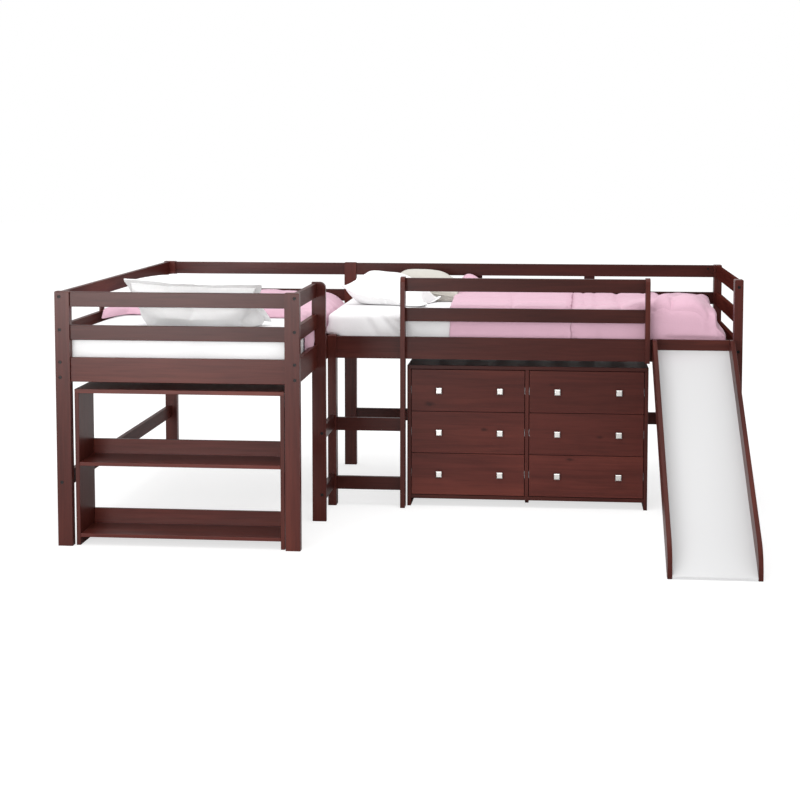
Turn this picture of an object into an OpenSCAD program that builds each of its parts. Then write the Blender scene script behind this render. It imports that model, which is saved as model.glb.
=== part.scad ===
// L-shaped pair of low loft beds with a slide, two short ladders, a six-drawer dresser and a bookcase.
// The first bed runs front to back on the left, the second runs left to right behind it and shares
// its rear right post. Millimetres, +Z up, +X to the right, +Y to the back.
// The origin is the middle of the footprint, on the floor.

/* [Mattresses] */
// Length of each mattress
mattress_l = 1905; // [1850:5:1960]
// Width of each mattress
mattress_w = 965; // [920:5:1000]
// Thickness of each mattress
mattress_t = 180; // [150:5:195]
// Slack between a mattress and the rails along its sides
side_slack = 19.5; // [17:0.5:26]
// Slack between a mattress and the boards at its ends
end_slack = 6.5; // [4:0.5:14]
// Radius of the mattress edges
mattress_edge_r = 26; // [15:1:35]
// Radius of the mattress corners seen from above
mattress_corner_r = 64; // [62:1:90]

/* [Bed frames] */
// Height of the tall posts
post_h = 1113; // [1090:1:1160]
// Broad side of a post's section
post_w = 64; // [52:1:80]
// Narrow side of a post's section
post_t = 40; // [37:1:48]
// Bevel round the top of a post
post_bevel = 3; // [1:0.5:6]
// Height of the low corner post above the bed rail
corner_post_over = 6; // [0:1:20]
// Thickness of the bed rails and guard boards
board_t = 21; // [18:0.5:24]
// Step from a post's outer face back to the boards' outer face
board_inset = 10; // [6:1:13]
// Height of the bed rails
rail_h = 106; // [90:1:112]
// Height of the bed rails' top edge above the floor
rail_top = 826; // [815:1:850]
// Height of the guard boards
guard_h = 64; // [45:1:75]
// Share of the space between rail and upper guard board that lies below the lower guard board
guard_low_share = 0.487; // [0.4:0.01:0.6]
// Drop from the post tops to the upper guard board
guard_drop = 3; // [0:1:12]
// Height of the low stretchers
stretcher_h = 64; // [45:1:80]
// Height of the low stretchers' lower edge above the floor
stretcher_z = 248; // [180:1:320]
// How far the second frame laps over the first
frame_lap = 20; // [10:1:26]
// Width of the cleats that join the guard boards
cleat_w = 56; // [40:1:80]
// Distance from the guard boards' top edge down to the cleats' tops
cleat_down = 8; // [0:1:20]
// Lap of those cleats over the bed rail
cleat_lap = 60; // [40:1:100]
// Distance between the middles of the first bed's cleats
cleat_pitch_a = 570; // [400:1:800]
// Distance between the middles of the second bed's cleats
cleat_pitch_b = 605; // [400:1:800]

/* [Ladders] */
// Thickness of the ladder uprights
upright_t = 22; // [18:1:28]
// Width of the ladder uprights
upright_w = 64; // [58:1:66]
// How far the uprights stand out in front of the post line
upright_proud = 30; // [26:1:32]
// Height of the uprights above the posts
upright_over = 3; // [0:1:12]
// Radius of the uprights' outer top corner
upright_r = 28; // [10:1:38]
// Length of the rungs on the first bed
rung_a_l = 322; // [260:1:400]
// Length of the rungs on the second bed
rung_b_l = 314; // [260:1:400]
// Height of a rung
rung_h = 63; // [45:1:75]
// Thickness of a rung
rung_t = 22; // [18:1:26]
// Step from the corner post's outer faces back to the rungs
rung_inset = 8; // [4:1:12]
// Height of the second bed's lower rung above the floor
rung_z = 80; // [60:1:120]
// Rise from the lower to the upper rung
rung_rise = 288; // [250:1:320]
// How much higher the first bed's rungs sit
rung_step = 13; // [10:1:20]

/* [Slats] */
// Number of slats under each mattress
slat_n = 13; // [8:1:16]
// Width of a slat
slat_w = 64; // [50:1:80]
// Thickness of a slat
slat_t = 17; // [12:1:20]
// Height of the ledger strips that carry the slats
ledger_h = 20; // [15:1:26]
// Width of the ledger strips
ledger_w = 25; // [20:1:35]
// Gap between a slat's end and the rail
slat_gap = 1; // [0.5:0.5:4]

/* [Slide] */
// Width over the slide's side boards
slide_w = 380; // [320:1:430]
// Thickness of the side boards
slide_side_t = 20; // [16:1:24]
// Width of the side boards, square to the slope
slide_side_w = 110; // [95:1:130]
// Depth of the white panel below the side boards' top edge
slide_panel_depth = 80; // [60:1:84]
// Thickness of the white panel
slide_panel_t = 6; // [4:0.5:10]
// Reach from the bed rail to the slide's foot
slide_reach = 1229; // [1100:1:1400]
// Drop from the bed rail's top to the panel's upper end
slide_sill = 50; // [40:1:60]
// Height of the panel above the floor at its foot
slide_lip = 13; // [10:1:20]
// Height of the side boards' top end above the bed rail
slide_over = 4; // [0:1:12]
// Radius of the side boards' foot
slide_foot_r = 150; // [60:5:180]
// Gap between the slide and the end post
slide_post_gap = 2; // [1:0.5:6]
// Gap between the slide and the upright beside it
slide_upright_gap = 11; // [2:1:20]
// Width of the battens under the panel
batten_w = 40; // [30:1:60]
// Thickness of the battens
batten_t = 20; // [12:1:22]

/* [Dresser] */
// Width of the dresser
dresser_w = 1153; // [1000:1:1250]
// Height of the dresser
dresser_h = 687; // [600:1:695]
// Depth of the dresser
dresser_d = 400; // [390:1:600]
// Thickness of its panels
panel_t = 18; // [15:0.5:22]
// Gap between the ladder upright and the dresser
dresser_gap = 7; // [2:1:20]
// Height of its bottom board above the floor
dresser_foot_z = 37; // [25:1:60]
// Thickness of its back panel
back_t = 6; // [3:0.5:10]
// Step from the dresser's front back to its middle foot
middle_foot_step = 118; // [60:1:200]
// Gap round a drawer front
drawer_gap = 3; // [2:0.5:5]
// Length of a drawer box behind its front
drawer_box_l = 350; // [300:1:360]
// Thickness of a drawer box's sides
drawer_side_t = 12; // [9:0.5:16]
// Height of a drawer box
drawer_box_h = 150; // [110:1:160]
// Thickness of a drawer's bottom
drawer_bottom_t = 6; // [3:0.5:9]
// Thickness of the drawer runners
runner_t = 12.5; // [10:0.5:16]
// Height of the drawer runners
runner_h = 35; // [25:1:45]
// Play between a drawer box and its runners
runner_play = 0.5; // [0.3:0.1:1]
// Side of a square knob
knob_w = 29; // [20:1:40]
// Thickness of a knob's square cap
knob_cap_t = 9; // [6:0.5:14]
// Length of a knob's stem
knob_stem_l = 11; // [8:1:20]
// Diameter of a knob's stem
knob_stem_d = 12; // [9:0.5:16]
// Distance between a drawer's two knobs
knob_pitch = 293; // [200:1:400]
// How far the knobs sit to the right of the drawer's middle
knob_shift = 8; // [0:1:12]

/* [Bookcase] */
// Gap between the bookcase and the left post
bookcase_gap_l = 12; // [2:1:40]
// Gap between the bookcase and the right post
bookcase_gap_r = 6; // [2:1:40]
// Step from the posts' front back to the bookcase
bookcase_step = 20; // [0:1:36]
// Depth of the bookcase
bookcase_d = 228; // [180:1:320]
// Height of the bookcase
bookcase_h = 687; // [560:1:695]
// Thickness of its shelves
shelf_t = 16; // [12:0.5:20]
// Height of its bottom shelf above the floor
low_shelf_z = 36; // [20:1:80]
// Height of its middle shelf above the floor
mid_shelf_z = 351; // [280:1:420]
// Height of the strips behind the shelves
lip_h = 82; // [50:1:110]

/* [Fixings] */
// Diameter of the connector bolts
bolt_d = 6; // [5:0.5:7]
// Diameter of a bolt's head
bolt_head_d = 13; // [10:0.5:13.5]
// Thickness of a bolt's head
bolt_head_t = 3; // [2:0.5:3.5]
// Diameter of the recess that takes a bolt's head
bolt_recess_d = 15.5; // [14.5:0.5:16]
// Height of the guard boards' bolts above the boards' middle
guard_bolt_up = 12; // [10:1:14]
// Depth of a bolt's recess
bolt_recess = 3.5; // [3.5:0.5:5]
// Diameter of the bolt holes
bolt_hole_d = 7; // [7:0.5:8]
// Reach of a bolt past the post into the board
bolt_grip = 42; // [36:1:50]
// Distance from the post to the middle of a barrel nut
nut_in = 30; // [24:1:31]
// Diameter of a barrel nut
nut_d = 10; // [9:0.5:11]
// Length of a barrel nut
nut_l = 14; // [10:0.5:15]
// Distance between the two bolts of a bed rail
rail_bolt_pitch = 66; // [50:1:70]

/* [Bedding] */
// Thickness of a comforter
cover_t = 27; // [16:1:40]
// Extra thickness where the second comforter lies folded double
cover_fold_t = 26; // [12:1:50]
// Depth to which a comforter hangs beside the mattress
cover_drop = 130; // [80:1:150]
// Long side of the leaning pillow
pillow_l = 620; // [540:5:700]
// Short side of the leaning pillow
pillow_w = 440; // [380:5:480]
// Thickness of the leaning pillow
pillow_t = 155; // [100:5:180]
// Long side of the two pillows on the second bed
head_pillow_l = 470; // [400:5:480]
// Long side of the back one of those pillows
back_pillow_l = 385; // [360:5:420]
// Short side of those pillows
head_pillow_w = 320; // [260:5:325]
// Thickness of those pillows
head_pillow_t = 148; // [90:2:170]
// Width of the flat flange round a pillow
flange_w = 24; // [10:1:40]
// Thickness of that flange
flange_t = 6; // [3:0.5:10]
// How far a pillow's sides draw in between its corners
pillow_draw = 16; // [5:1:30]
// Slope of the pillow that leans on the foot boards
pillow_slope = 31; // [20:1:40]

/* [Hidden] */

wood = [0.33, 0.17, 0.14];
dark_wood = [0.25, 0.12, 0.10];
steel = [0.22, 0.21, 0.21];
nickel = [0.80, 0.80, 0.80];
white = [0.95, 0.95, 0.95];
ivory = [0.90, 0.88, 0.82];
pink = [0.93, 0.72, 0.79];
soft_gap = 0.4;    // clearance between soft pieces and what they lie on
eps = 0.01;

// footprint of the two frames
skin = board_inset + board_t;
bed_l = mattress_l + 2 * (end_slack + skin);
bed_w = mattress_w + 2 * (side_slack + skin);
total_l = bed_w + bed_l - frame_lap;
corner_y = bed_l - bed_w;    // front of the second frame behind the front of the first
slide_ahead = max(0, slide_reach - corner_y - board_inset);
ax0 = -total_l / 2;
ax1 = ax0 + bed_w;
ay0 = (slide_ahead - bed_l) / 2;
ay1 = ay0 + bed_l;
bx0 = ax1 - board_inset;
bx1 = ax0 + total_l;
by0 = ay0 + corner_y;
by1 = ay1;

// inner faces of the boards round each mattress
a_in = [ax0 + skin, ay0 + skin, ax1 - skin, ay1 - skin];
b_in = [bx0, by0 + skin, bx1 - skin, by1 - skin];

// heights of the boards' lower edges
rail_z = rail_top - rail_h;
guard_2_z = post_h - guard_drop - guard_h;
guard_1_z = rail_top + guard_low_share * (guard_2_z - rail_top - guard_h);
slat_z = rail_z + ledger_h;
bed_z = slat_z + slat_t;
mattress_z = bed_z + mattress_t;

// ladder uprights: outer face and position along the frame
a_up_x = ax1 + upright_proud;
a_up_y = by0 - rung_a_l - upright_t;
b_up_y = by0 - upright_proud;
b_up_x = bx0 + post_t + rung_b_l;
up_h = post_h + upright_over;
rung_a_x = bx0 + post_t - rung_inset - rung_t;
rung_b_y = by0 + rung_inset;

// slide: places across, and lines of its side view as [distance from the rail, height]
slide_x1 = bx1 - post_t - slide_post_gap;
slide_x0 = slide_x1 - slide_w;
slide_face_y = by0 + board_inset;
slide_up_x = slide_x0 - slide_upright_gap - upright_t;
slide_top_z = rail_top - slide_sill;
slide_a = atan2(slide_top_z - slide_lip, slide_reach);
function panel_z(p, below = 0) = slide_top_z - p * tan(slide_a) - below / cos(slide_a);

// dresser
dresser_x0 = b_up_x + upright_t + dresser_gap;
dresser_x1 = dresser_x0 + dresser_w;
dresser_y0 = b_in[1];
dresser_y1 = dresser_y0 + dresser_d;
dresser_top_z = dresser_h - panel_t;
dresser_floor_z = dresser_foot_z + panel_t;
column_w = (dresser_w - 3 * panel_t) / 2;
front_w = column_w - 2 * drawer_gap;
front_h = (dresser_top_z - dresser_floor_z - 4 * drawer_gap) / 3;
box_w = column_w - 2 * (runner_t + runner_play);
box_z = (front_h - drawer_box_h) / 2;
function column_x(c) = dresser_x0 + panel_t + c * (column_w + panel_t);
function row_z(r) = dresser_floor_z + drawer_gap + r * (front_h + drawer_gap);

// bookcase
case_x0 = ax0 + post_w + bookcase_gap_l;
case_x1 = ax1 - post_w - bookcase_gap_r;
case_y0 = ay0 + bookcase_step;
case_y1 = case_y0 + bookcase_d;
case_top_z = bookcase_h - panel_t;

// bolts: [x, y, z of the recess mouth, direction, wood passed, side that the nut's hole opens to]
rail_mid_z = rail_z + rail_h / 2;
rail_bolts_z = [rail_mid_z - rail_bolt_pitch / 2, rail_mid_z + rail_bolt_pitch / 2];
guard_bolts_z = [for (z = [guard_1_z, guard_2_z]) z + guard_h / 2 + guard_bolt_up];
stretcher_bolt_z = stretcher_z + stretcher_h / 2;
left_x = ax0 + board_inset + board_t / 2;
right_x = ax1 - board_inset - board_t / 2;
front_y = by0 + board_inset + board_t / 2;
back_y = by1 - board_inset - board_t / 2;
rung_zs = [rung_z, rung_z + rung_rise];
corner_bolts_z = [rail_mid_z + rail_h / 8, rail_mid_z + rail_bolt_pitch / 2];
upright_screws_z = [rail_mid_z - rail_h / 6, rail_mid_z + rail_h / 4];
left_heights = concat([stretcher_bolt_z], rail_bolts_z, guard_bolts_z);
foot_bolts = concat([for (z = left_heights) [left_x, ay0, z, "+y", post_t, "+x"]],
                    [for (z = concat(rail_bolts_z, guard_bolts_z)) [right_x, ay0, z, "+y", post_t, "-x"]]);
head_bolts = concat([for (z = left_heights) [left_x, ay1, z, "-y", post_t, "+x"]],
                    [for (z = rail_bolts_z) [right_x, ay1, z, "-y", post_t, "-x"]]);
end_bolts = concat([for (z = rail_bolts_z) [bx1, front_y, z, "-x", post_t, "+y"]],
                   [for (z = left_heights) [bx1, back_y, z, "-x", post_t, "-y"]]);
end_board_bolts = [for (z = [rail_mid_z, guard_2_z + guard_h / 2]) each
                   [[bx1 - board_inset - board_t / 2, by0, z, "+y", post_w, "-x"],
                    [bx1 - board_inset - board_t / 2, by1, z, "-y", post_w, "-x"]]];
corner_bolts = [for (z = corner_bolts_z) [ax1 - skin, front_y, z, "+x", board_t + post_t, "+y"]];
a_guard_bolts = [for (z = guard_bolts_z) [right_x, a_up_y + upright_t, z, "-y", upright_t, "-x"]];
b_guard_bolts = concat([for (z = guard_bolts_z) [b_up_x, front_y, z, "+x", upright_t, "+y"]],
                       [for (z = guard_bolts_z) [slide_up_x + upright_t, front_y, z, "-x", upright_t, "+y"]]);
rung_a_bolts = [for (z = rung_zs) let (h = z + rung_step + rung_h / 2) each
                [[rung_a_x + rung_t / 2, a_up_y, h, "+y", upright_t, "-x"],
                 [rung_a_x + rung_t / 2, by0 + post_w, h, "-y", post_w, "-x"]]];
rung_b_bolts = [for (z = rung_zs) let (h = z + rung_h / 2) each
                [[b_up_x + upright_t, rung_b_y + rung_t / 2, h, "-x", upright_t, "+y"],
                 [bx0, rung_b_y + rung_t / 2, h, "+x", post_t, "+y"]]];
nut_bolts = concat(foot_bolts, head_bolts, end_bolts, end_board_bolts, corner_bolts, a_guard_bolts,
                   b_guard_bolts, rung_a_bolts, rung_b_bolts);
// screws driven from inside the rails, without nuts: [x, y, z, direction, wood passed, reach past it]
a_up_screws = [for (z = upright_screws_z) [ax1 - skin, a_up_y + upright_t / 2, z, "+x", board_t, 30]];
b_up_screws = [for (x = [b_up_x, slide_up_x], z = upright_screws_z)
               [x + upright_t / 2, by0 + skin, z, "-y", board_t, 30]];
slide_screws = [for (k = [0.25, 0.75])
                [slide_x0 + k * slide_w, by0 + skin, slat_z + bolt_recess_d / 2 + 2, "-y", board_t, 15]];
screws = concat(a_up_screws, b_up_screws, slide_screws);

// box from one corner to the other
module block(a, b) {
    translate(a) cube([b[0] - a[0], b[1] - a[1], b[2] - a[2]]);
}

// rectangle with a bevelled top, seen from one side
module bevelled(w, h, b) {
    polygon([[0, 0], [w, 0], [w, h - b], [w - b, h], [b, h], [0, h - b]]);
}

// post with a bevel round its top
module post(x, y, wx, wy, h) {
    translate([x, y, 0]) intersection() {
        translate([0, wy, 0]) rotate([90, 0, 0]) linear_extrude(wy) bevelled(wx, h, post_bevel);
        rotate([90, 0, 90]) linear_extrude(wx) bevelled(wy, h, post_bevel);
    }
}

// board on edge along Y, or along X
module board_y(x, y0, y1, z, h, t = board_t) {
    block([x, y0, z], [x + t, y1, z + h]);
}
module board_x(y, x0, x1, z, h, t = board_t) {
    block([x0, y, z], [x1, y + t, z + h]);
}

// turns the local +Z axis along a direction
module along(dir) {
    rotate(dir == "+y" ? [-90, 0, 0] : dir == "-y" ? [90, 0, 0] : dir == "+x" ? [0, 90, 0] : [0, -90, 0])
        children();
}

// bolt or screw with a hexagon socket in its head, which seats on the floor of its recess
module fixing(b, reach) {
    translate([b[0], b[1], b[2]]) along(b[3]) difference() {
        union() {
            translate([0, 0, bolt_recess - bolt_head_t]) cylinder(d = bolt_head_d, h = bolt_head_t, $fn = 32);
            cylinder(d = bolt_d, h = b[4] + reach, $fn = 24);
        }
        translate([0, 0, -eps]) cylinder(d = bolt_d * 0.9, h = bolt_recess - bolt_head_t + 1.8, $fn = 6);
    }
}

// recess and hole for a fixing
module fixing_hole(b, reach) {
    translate([b[0], b[1], b[2]]) along(b[3]) {
        translate([0, 0, -1]) cylinder(d = bolt_recess_d, h = bolt_recess + 1, $fn = 32);
        cylinder(d = bolt_hole_d, h = b[4] + reach + 2, $fn = 24);
    }
}

// barrel nut, and the blind hole that it sits in
module at_nut(b) {
    translate([b[0], b[1], b[2]]) along(b[3]) translate([0, 0, b[4] + nut_in]) rotate_back(b[3]) along(b[5])
        children();
}
module rotate_back(dir) {
    rotate(dir == "+y" ? [90, 0, 0] : dir == "-y" ? [-90, 0, 0] : dir == "+x" ? [0, -90, 0] : [0, 90, 0])
        children();
}
module nut(b) {
    difference() {
        at_nut(b) translate([0, 0, -nut_l / 2]) cylinder(d = nut_d, h = nut_l, $fn = 32);
        translate([b[0], b[1], b[2]]) along(b[3]) cylinder(d = bolt_d + 0.2, h = b[4] + bolt_grip + 5, $fn = 24);
    }
}
module nut_hole(b) {
    at_nut(b) translate([0, 0, -nut_l / 2]) cylinder(d = nut_d + 0.4, h = nut_l + board_t, $fn = 32);
}

// cuts that a list of nut bolts, or of screws, needs
module bolt_cuts(list) {
    for (b = list) {
        fixing_hole(b, bolt_grip);
        nut_hole(b);
    }
}
module screw_cuts(list) {
    for (b = list) fixing_hole(b, b[5]);
}

// First bed: frame
module a_foot_posts() {
    color(wood) difference() {
        for (x = [ax0, ax1 - post_w]) post(x, ay0, post_w, post_t, post_h);
        bolt_cuts(foot_bolts);
    }
}

module a_head_posts() {
    color(wood) difference() {
        for (x = [ax0, ax1 - post_w]) post(x, ay1 - post_t, post_w, post_t, post_h);
        bolt_cuts(head_bolts);
    }
}

module a_end_guards() {
    color(wood) for (y = [ay0 + board_inset, ay1 - skin], z = [guard_1_z, guard_2_z])
        board_x(y, ax0 + post_w, ax1 - post_w, z, guard_h);
}

module a_end_rails() {
    color(wood) for (y = [ay0 + board_inset, ay1 - skin])
        board_x(y, ax0 + post_w, ax1 - post_w, rail_z, rail_h);
}

module a_side_guards() {
    color(wood) difference() {
        for (z = [guard_1_z, guard_2_z])
            board_y(ax0 + board_inset, ay0 + post_t, ay1 - post_t, z, guard_h);
        bolt_cuts(concat(foot_bolts, head_bolts));
    }
}

module a_side_rails() {
    color(wood) difference() {
        for (x = [ax0 + board_inset, ax1 - skin])
            board_y(x, ay0 + post_t, ay1 - post_t, rail_z, rail_h);
        bolt_cuts(concat(foot_bolts, head_bolts, corner_bolts));
        screw_cuts(a_up_screws);
    }
}

module a_side_stretcher() {
    color(wood) difference() {
        board_y(ax0 + board_inset, ay0 + post_t, ay1 - post_t, stretcher_z, stretcher_h);
        bolt_cuts([foot_bolts[0], head_bolts[0]]);
    }
}

module a_short_guards() {
    color(wood) difference() {
        for (z = [guard_1_z, guard_2_z])
            board_y(ax1 - skin, ay0 + post_t, a_up_y, z, guard_h);
        bolt_cuts(concat(foot_bolts, a_guard_bolts));
    }
}

// flat upright with one rounded top corner and a notch for the bed rail, drawn from its outer edge
module upright_side(z0, notch) {
    difference() {
        translate([0, z0]) square([upright_w, up_h - z0]);
        translate([0, up_h - upright_r]) difference() {
            translate([-1, 0]) square([upright_r + 1, upright_r + 1]);
            translate([upright_r, 0]) circle(r = upright_r, $fn = 64);
        }
        translate([notch, rail_z]) square([upright_w, rail_h]);
    }
}

module a_ladder_upright() {
    color(wood) difference() {
        translate([a_up_x, a_up_y + upright_t, 0]) rotate([90, 0, 0]) linear_extrude(upright_t)
            mirror([1, 0]) upright_side(0, upright_proud + board_inset);
        bolt_cuts(concat(a_guard_bolts, rung_a_bolts));
        screw_cuts(a_up_screws);
    }
}

// Second bed: frame
module b_corner_post() {
    color(wood) difference() {
        post(bx0, by0, post_t, post_w, rail_top + corner_post_over);
        bolt_cuts(concat(corner_bolts, rung_a_bolts, rung_b_bolts));
    }
}

module b_end_posts() {
    color(wood) difference() {
        for (y = [by0, by1 - post_w]) post(bx1 - post_t, y, post_t, post_w, post_h);
        bolt_cuts(concat(end_bolts, end_board_bolts));
    }
}

module b_front_rail() {
    color(wood) difference() {
        board_x(by0 + board_inset, bx0 + post_t, bx1 - post_t, rail_z, rail_h);
        bolt_cuts(concat(end_bolts, corner_bolts));
        screw_cuts(concat(b_up_screws, slide_screws));
    }
}

module b_front_guards() {
    color(wood) difference() {
        for (z = [guard_1_z, guard_2_z])
            board_x(by0 + board_inset, b_up_x + upright_t, slide_up_x, z, guard_h);
        bolt_cuts(b_guard_bolts);
    }
}

module b_upright(x, z0) {
    translate([x, b_up_y, 0]) rotate([90, 0, 90]) linear_extrude(upright_t)
        upright_side(z0, upright_proud + board_inset);
}

module b_ladder_upright() {
    color(wood) difference() {
        b_upright(b_up_x, 0);
        bolt_cuts(concat(b_guard_bolts, rung_b_bolts));
        screw_cuts(b_up_screws);
    }
}

module b_slide_upright() {
    color(wood) difference() {
        b_upright(slide_up_x, rail_z - 5);
        bolt_cuts(b_guard_bolts);
        screw_cuts(b_up_screws);
    }
}

module b_back_guards() {
    color(wood) difference() {
        for (z = [guard_1_z, guard_2_z]) board_x(by1 - skin, ax1, bx1 - post_t, z, guard_h);
        bolt_cuts(end_bolts);
    }
}

module b_back_rail() {
    color(wood) difference() {
        board_x(by1 - skin, ax1, bx1 - post_t, rail_z, rail_h);
        bolt_cuts(end_bolts);
    }
}

module b_back_stretcher() {
    color(dark_wood) difference() {
        board_x(by1 - skin, ax1, bx1 - post_t, stretcher_z, stretcher_h);
        bolt_cuts(end_bolts);
    }
}

module b_end_guards() {
    color(wood) difference() {
        for (z = [guard_1_z, guard_2_z]) board_y(bx1 - skin, by0 + post_w, by1 - post_w, z, guard_h);
        bolt_cuts(end_board_bolts);
    }
}

module b_end_rail() {
    color(wood) difference() {
        board_y(bx1 - skin, by0 + post_w, by1 - post_w, rail_z, rail_h);
        bolt_cuts(end_board_bolts);
    }
}

// Both beds: cleats outside the long guards and rails, level with the posts; rungs, ledgers, slats
module guard_cleats() {
    cleat_z = rail_top - cleat_lap;
    cleat_top = guard_2_z + guard_h - cleat_down;
    color(wood) for (k = [-0.5, 0.5]) {
        y = (ay0 + ay1) / 2 + k * cleat_pitch_a - cleat_w / 2;
        x = (ax1 + bx1 - post_t) / 2 + k * cleat_pitch_b - cleat_w / 2;
        block([ax0, y, cleat_z], [ax0 + board_inset, y + cleat_w, cleat_top]);
        block([x, by1 - board_inset, cleat_z], [x + cleat_w, by1, cleat_top]);
    }
}

module ladder_rungs() {
    color(wood) difference() {
        for (z = rung_zs) {
            board_y(rung_a_x, a_up_y + upright_t, by0, z + rung_step, rung_h, rung_t);
            board_x(rung_b_y, bx0 + post_t, b_up_x, z, rung_h, rung_t);
        }
        bolt_cuts(concat(rung_a_bolts, rung_b_bolts));
    }
}

module mattress_ledgers() {
    color(dark_wood) {
        for (x = [a_in[0], a_in[2] - ledger_w])
            board_y(x, ay0 + post_t, ay1 - post_t, rail_z, ledger_h, ledger_w);
        board_x(b_in[1], bx0 + post_t, bx1 - post_t, rail_z, ledger_h, ledger_w);
        board_x(b_in[3] - ledger_w, ax1, bx1 - post_t, rail_z, ledger_h, ledger_w);
    }
}

module a_slats() {
    run = a_in[3] - a_in[1] - slat_w - 2 * post_t;
    color(wood) for (i = [0:slat_n - 1]) {
        y = a_in[1] + post_t + i * run / (slat_n - 1);
        block([a_in[0] + slat_gap, y, slat_z], [a_in[2] - slat_gap, y + slat_w, bed_z]);
    }
}

module b_slats() {
    run = b_in[2] - b_in[0] - slat_w - 2 * post_w;
    color(wood) for (i = [0:slat_n - 1]) {
        x = b_in[0] + post_w + i * run / (slat_n - 1);
        block([x, b_in[1] + slat_gap, slat_z], [x + slat_w, b_in[3] - slat_gap, bed_z]);
    }
}

// Fixings
module bed_bolts() {
    color(steel) {
        for (b = nut_bolts) fixing(b, bolt_grip);
        for (b = screws) fixing(b, b[5]);
    }
}

module barrel_nuts() {
    color(steel) for (b = nut_bolts) nut(b);
}

// Slide
// round of radius r at the corner b between a and c
function unit(v) = v / norm(v);
function round_at(a, b, c, r, n = 10) =
    let (u = unit(a - b), w = unit(c - b), half = acos(u * w) / 2,
         mid = b + unit(u + w) * r / sin(half),
         s = b + u * r / tan(half) - mid, e = b + w * r / tan(half) - mid,
         a0 = atan2(s[1], s[0]), da = atan2(e[1], e[0]) - a0,
         turn = da > 180 ? da - 360 : da < -180 ? da + 360 : da)
    [for (i = [0:n]) mid + r * [cos(a0 + turn * i / n), sin(a0 + turn * i / n)]];

// side view, with distance from the rail to the front as negative Y
module slide_view(x, t) {
    translate([x, slide_face_y, 0]) rotate([90, 0, 90]) linear_extrude(t) mirror([1, 0]) children();
}

module slide_side_2d() {
    low = slide_side_w - slide_panel_depth;
    top = rail_top + slide_over;
    brow = [(panel_z(0, -slide_panel_depth) - top) / tan(slide_a), top];
    nose = [slide_reach, panel_z(slide_reach, -slide_panel_depth)];
    heel = [panel_z(0, low) / tan(slide_a), 0];
    toe = [slide_reach, 0];
    polygon(concat([[0, panel_z(0, low)]], [heel], round_at(heel, toe, nose, 6, 4),
                   round_at(toe, nose, brow, slide_foot_r, 14), round_at(nose, brow, [0, top], 60, 6),
                   round_at(brow, [0, top], [0, 0], 8, 4)));
}

module slide_sides() {
    color(wood) for (x = [slide_x0, slide_x1 - slide_side_t]) slide_view(x, slide_side_t) slide_side_2d();
}

module slide_panel() {
    color(white) slide_view(slide_x0 + slide_side_t, slide_w - 2 * slide_side_t)
        polygon([[0, panel_z(0)], [0, panel_z(0, slide_panel_t)],
                 [slide_reach, panel_z(slide_reach, slide_panel_t)], [slide_reach, panel_z(slide_reach)]]);
}

module slide_battens() {
    foot = slide_reach - 1.6 * batten_w;
    color(wood) difference() {
        slide_view(slide_x0 + slide_side_t, slide_w - 2 * slide_side_t) {
            polygon([[0, rail_z], [batten_t, rail_z], [batten_t, panel_z(batten_t, slide_panel_t)],
                     [0, panel_z(0, slide_panel_t)]]);
            for (p = [slide_reach / 3, 2 * slide_reach / 3, foot])
                translate([p, panel_z(p, slide_panel_t)]) rotate(-slide_a)
                    translate([0, -batten_t]) square([batten_w, batten_t]);
        }
        screw_cuts(slide_screws);
    }
}

// Dresser
module dresser_sides() {
    color(wood) for (x = [dresser_x0, dresser_x1 - panel_t])
        block([x, dresser_y0, 0], [x + panel_t, dresser_y1, dresser_top_z]);
}

module dresser_divider() {
    x = column_x(1) - panel_t;
    foot_y = dresser_y0 + middle_foot_step;
    color(wood) {
        block([x, dresser_y0, dresser_floor_z], [x + panel_t, dresser_y1 - back_t, dresser_top_z]);
        block([x, foot_y, 0], [x + panel_t, foot_y + 60, dresser_foot_z]);
    }
}

module dresser_top() {
    color(wood) block([dresser_x0, dresser_y0, dresser_top_z], [dresser_x1, dresser_y1, dresser_h]);
}

module dresser_bottom() {
    color(wood) block([dresser_x0 + panel_t, dresser_y0, dresser_foot_z],
                      [dresser_x1 - panel_t, dresser_y1, dresser_floor_z]);
}

module dresser_back() {
    color(dark_wood) block([dresser_x0 + panel_t, dresser_y1 - back_t, dresser_floor_z],
                           [dresser_x1 - panel_t, dresser_y1, dresser_top_z]);
}

module drawer_runners() {
    color(steel) for (c = [0, 1], r = [0:2], side = [0, 1]) {
        x = column_x(c) + side * (column_w - runner_t);
        z = row_z(r) + box_z + (drawer_box_h - runner_h) / 2;
        block([x, dresser_y0 + panel_t + drawer_gap, z],
              [x + runner_t, dresser_y0 + panel_t + drawer_box_l, z + runner_h]);
    }
}

// drawers are numbered by column, then from the bottom up; the front is a slab, the box five boards
function drawer_x(n) = column_x(floor(n / 3)) + column_w / 2;
function drawer_z(n) = row_z(n % 3);

module knob_places(n) {
    for (x = [-knob_pitch, knob_pitch] / 2 + [1, 1] * (drawer_x(n) + knob_shift))
        translate([x, dresser_y0, drawer_z(n) + front_h / 2]) rotate([90, 0, 0]) children();
}

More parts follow.
